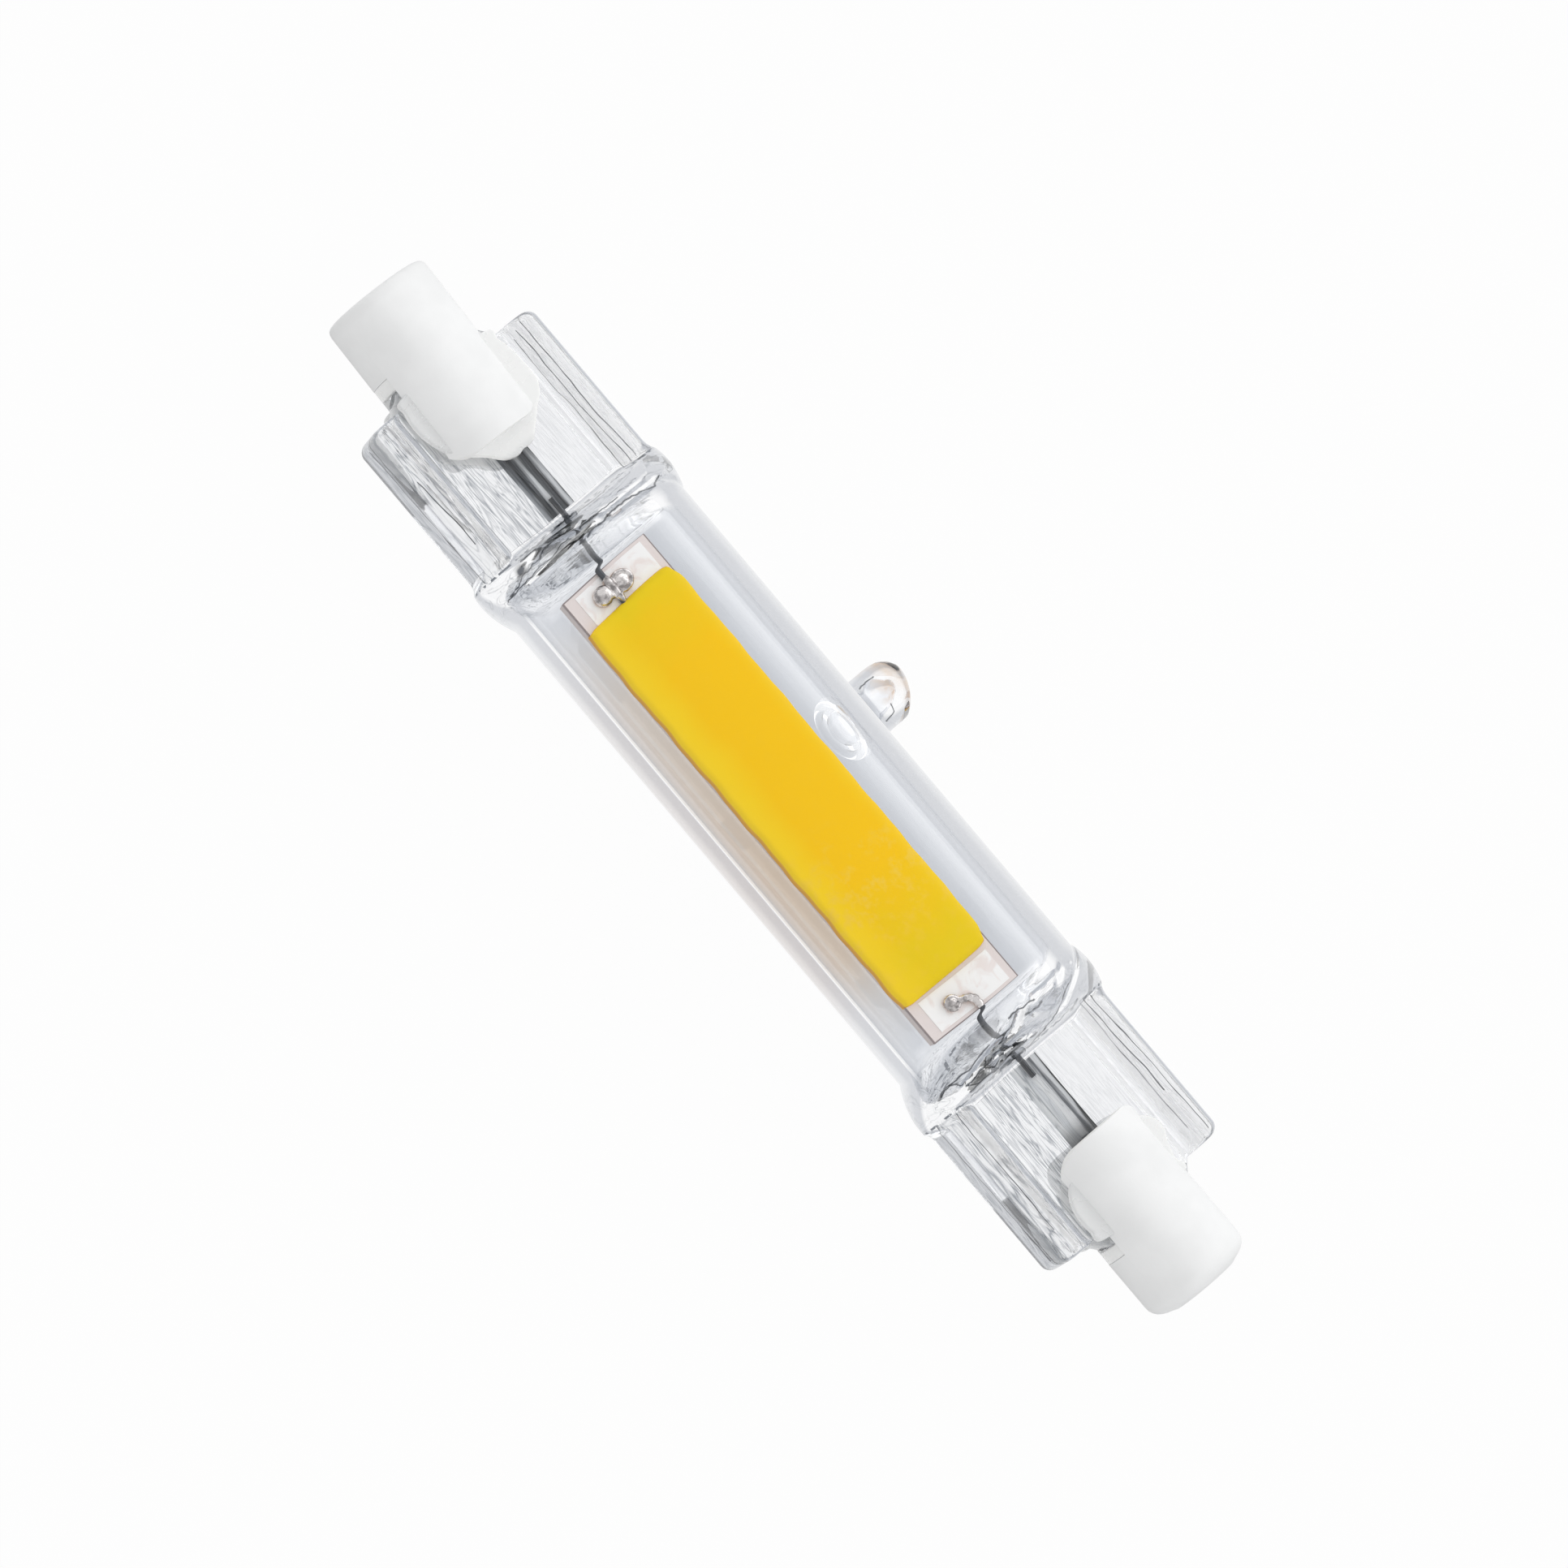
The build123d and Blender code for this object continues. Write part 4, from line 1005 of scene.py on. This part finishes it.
def rolledFoil(side):
    look = foilLook[side]
    material, add = newMaterial("rolled molybdenum " + ("left" if side < 0 else "right"))
    place, x, y = lampCoordinates(add)[:3]
    drawn = add("Mapping", {"Vector": place, "Scale": (0.25, 5.0, 1.0)})
    wrinkles = add("TexNoise", {"Vector": drawn, "Scale": 1.0, "Detail": 2.0})
    wander = add("Math", {0: wrinkles, 1: 0.5, 2: -0.25 - look["middle"]}, operation="MULTIPLY_ADD")
    across = add("Math", {0: y, 1: wander}, operation="ADD")
    band = add("MapRange", {"Value": across, "From Min": -foilLook["half"], "From Max": foilLook["half"]})
    colours = add("ValToRGB", {"Fac": band}, stops=look["bands"])
    # painted shade: darker next to the cap, where it lies in the cap's shadow, paler where it thins towards the tube
    outward = add("Math", {0: x}, operation="ABSOLUTE")
    along = add("MapRange", {"Value": outward, "From Min": foilLook["inner"], "From Max": foilLook["outer"]})
    along = add("ValToRGB", {"Fac": along}, stops=look["along"])
    shade = add("VectorMath", {0: colours, "Scale": along}, operation="SCALE")
    # the pale bands of painted highlight are less metallic, so they look white instead of mirroring
    metalWhereDark = add("MapRange", {"Value": shade, "From Min": 0.25, "From Max": 0.6, "To Min": 1.0, "To Max": 0.3})
    return finishMaterial(material, add, {"Base Color": shade, "Metallic": metalWhereDark, "Roughness": 0.38},
                          (wrinkles, 0.6, 0.04))


# Contact: nickel-plated brass button, turned. It looks silvery and satin, with turning rings and a yellow wear spot.
def platedBrass():
    material, add = newMaterial("nickel-plated brass")
    place, x, y, z = lampCoordinates(add)
    aside = add("Math", {0: y, 1: 0.5}, operation="ADD")
    fromAxis = add("VectorMath", {0: add("CombineXYZ", {"Y": aside, "Z": z})}, operation="LENGTH")
    rings = add("Math", {0: fromAxis, 1: 40.0}, operation="MULTIPLY")
    rings = add("Math", {0: rings}, operation="SINE")
    scuffs = add("TexNoise", {"Vector": place, "Scale": 3.0, "Detail": 3.0})
    worn = add("MapRange", {"Value": fromAxis, "From Min": 0.9, "From Max": 0.2, "To Max": 0.8})
    wornShare = add("Math", {0: worn, 1: scuffs}, operation="MULTIPLY")
    rough = add("MapRange", {"Value": scuffs, "To Min": 0.22, "To Max": 0.45})
    return finishMaterial(material, add, {"Base Color": layColours(add, "CFCBC2", (wornShare, "C7A662")),
                                          "Roughness": rough, "Metallic": 1.0}, (rings, 0.3, fineRelief))


# A part on the board's back: a body between tinned ends, told apart by the way from the nearest part's middle.
# Moulded epoxy looks charcoal and matt with a fine spark-eroded grain, a resistor's glaze darker and smoother.
def bodyAndLegs(name, bodyColour, legColour, centres, bodyHalf, roughness):
    material, add = newMaterial(name)
    place, x = lampCoordinates(add)[:2]
    near = add("Math", {0: x, 1: centres[0]}, operation="SUBTRACT")
    if len(centres) > 1:
        span = (centres[1] - centres[0]) / 2
        near = add("Math", {0: near, 1: span}, operation="SUBTRACT")
        near = add("Math", {0: near}, operation="ABSOLUTE")
        near = add("Math", {0: near, 1: span}, operation="SUBTRACT")
    near = add("Math", {0: near}, operation="ABSOLUTE")
    onLeg = add("Math", {0: near, 1: bodyHalf + 0.01}, operation="GREATER_THAN")
    grain = add("TexNoise", {"Vector": place, "Scale": 9.0, "Detail": 2.0})
    rough = add("MapRange", {"Value": onLeg, "To Min": roughness, "To Max": 0.3})
    colour = layColours(add, bodyColour, (grain, "3A3A3D"), (onLeg, legColour))
    return finishMaterial(material, add, {"Base Color": colour, "Metallic": onLeg, "Roughness": rough},
                          (grain, 0.5, fineRelief))


# Die: gallium nitride on sapphire. It looks glassy and bluish grey, with its edges sawn matt.
def ledCrystal():
    material, add = newMaterial("gallium nitride on sapphire")
    place = lampCoordinates(add)[0]
    sawn = add("TexNoise", {"Vector": place, "Scale": 6.0, "Detail": 2.0})
    rough = add("MapRange", {"Value": sawn, "To Min": 0.08, "To Max": 0.3})
    return finishMaterial(material, add, {"Base Color": layColours(add, "8FA0B8", (sawn, "A9B4C4")),
                                          "Roughness": rough, "IOR": 1.77})


backParts = {"rectifier": ((-14.16,), 2.35), "drivers": ((0.0, 14.16), 1.25), "resistors": ((-7.08, 7.08), 1.1)}
dress(alumina(), "cob_substrate")
dress(firedSilver(), "solder_pad_left", "solder_pad_right")
dress(drawnMolybdenum(), "inner_lead_left", "inner_lead_right", "outer_lead_left", "outer_lead_right")
dress(rolledFoil(-1), "seal_foil_left")
dress(rolledFoil(1), "seal_foil_right")
dress(platedBrass(), "contact_button_left", "contact_button_right")
dress(bodyAndLegs("rectifier epoxy", "222225", "B9B7B2", *backParts["rectifier"], 0.6), "bridge_rectifier")
dress(bodyAndLegs("driver epoxy", "1E1E20", "B9B7B2", *backParts["drivers"], 0.55), "driver_ics")
dress(bodyAndLegs("resistor glaze", "16171A", "C4C2BE", *backParts["resistors"], 0.3), "chip_resistors")
dress(ledCrystal(), "led_dies")
print("materials set")


# floor: white to the camera, to glass and to metal, with a faint shadow that glass shows more of
floorLook = {"size": 0.5, "colour": 0.72, "shadowShare": 0.04, "shadowInGlass": 0.25}
deselect()
bpy.ops.mesh.primitive_plane_add(size=floorLook["size"], location=(0, 0, 0))
floor = bpy.context.active_object
floor.name = "floor"
floorMaterial, add = newMaterial("white table")
path = add("LightPath")
seen = add("Math", {0: path.outputs["Is Camera Ray"], 1: path.outputs["Is Glossy Ray"]}, operation="MAXIMUM")
seen = add("Math", {0: seen, 1: 1 - floorLook["shadowShare"]}, operation="MULTIPLY")
inGlass = add("Math", {0: path.outputs["Is Transmission Ray"], 1: 1 - floorLook["shadowInGlass"]},
    operation="MULTIPLY")
share = add("Math", {0: seen, 1: inGlass}, operation="MAXIMUM")
matt = add("BsdfDiffuse", {"Color": [floorLook["colour"]] * 3 + [1]})
white = add("Emission", {"Color": (1, 1, 1, 1), "Strength": 1.0})
mixed = add("MixShader", {0: share, 1: matt, 2: white})
add("OutputMaterial", {"Surface": mixed})
floor.data.materials.append(floorMaterial)

# light: a tent that is darker overhead, where the camera looks in, and brightest low down on the side of the tip
light = {"overhead": 0.8, "inGloss": 0.25, "rim": 1.3, "towardsTip": 0.75, "warmth": (1.0, 0.997, 0.99)}
world = bpy.data.worlds.new("light tent")
bpy.context.scene.world = world
world.use_nodes = True
world.node_tree.nodes.clear()
add = partial(addNode, world.node_tree)
place = add("TexCoord")
axes = add("SeparateXYZ", {"Vector": place.outputs["Generated"]})
rim = add("Math", {0: axes.outputs["Y"], 1: light["towardsTip"], 2: light["rim"]}, operation="MULTIPLY_ADD")
overhead = add("MapRange", {"Value": axes.outputs["Z"], "From Min": 0.1, "From Max": 0.72},
    interpolation_type="SMOOTHSTEP")
path = add("LightPath")
# a dark card over the lamp keeps reflections off both faces of the front of the glass
inFront = add("Math", {0: path.outputs["Transmission Depth"], 1: 1.5}, operation="LESS_THAN")
mirrored = add("Math", {0: path.outputs["Glossy Depth"], 1: 0.5}, operation="GREATER_THAN")
mirrored = add("Math", {0: mirrored, 1: inFront}, operation="MULTIPLY")
card = add("Mix", {"Factor": mirrored, "A": light["overhead"], "B": light["inGloss"]})
level = add("Mix", {"Factor": overhead, "A": rim, "B": card})
tent = add("Background", {"Strength": level, "Color": list(light["warmth"]) + [1]})
backdrop = add("Background", {"Color": (1, 1, 1, 1), "Strength": 1.0})
both = add("MixShader", {0: path.outputs["Is Camera Ray"], 1: tent, 2: backdrop})
add("OutputWorld", {"Surface": both})

# camera straight above, with the lamp running down to the right as in the photograph
view = {"frame": 94.96, "distance": 550, "right": (0.6466, 0.7629), "offset": (-0.49, 0.20)}
right = Vector((view["right"][0], view["right"][1], 0)).normalized()
up = Vector((-right.y, right.x, 0))
centre = Vector(lamp["centre"]) + right * view["offset"][0] + up * view["offset"][1]
camera = bpy.data.objects.new("camera", bpy.data.cameras.new("camera"))
bpy.context.scene.collection.objects.link(camera)
camera.data.sensor_width = 36
camera.data.lens = 36 * view["distance"] / view["frame"]
camera.data.clip_start = 0.01
camera.matrix_world = Matrix.Translation((centre + Vector((0, 0, view["distance"]))) * mm) @ \
    Matrix((right, up, right.cross(up))).transposed().to_4x4()
bpy.context.scene.camera = camera
bpy.context.scene.view_settings.view_transform = "Standard"
print("camera and light set")
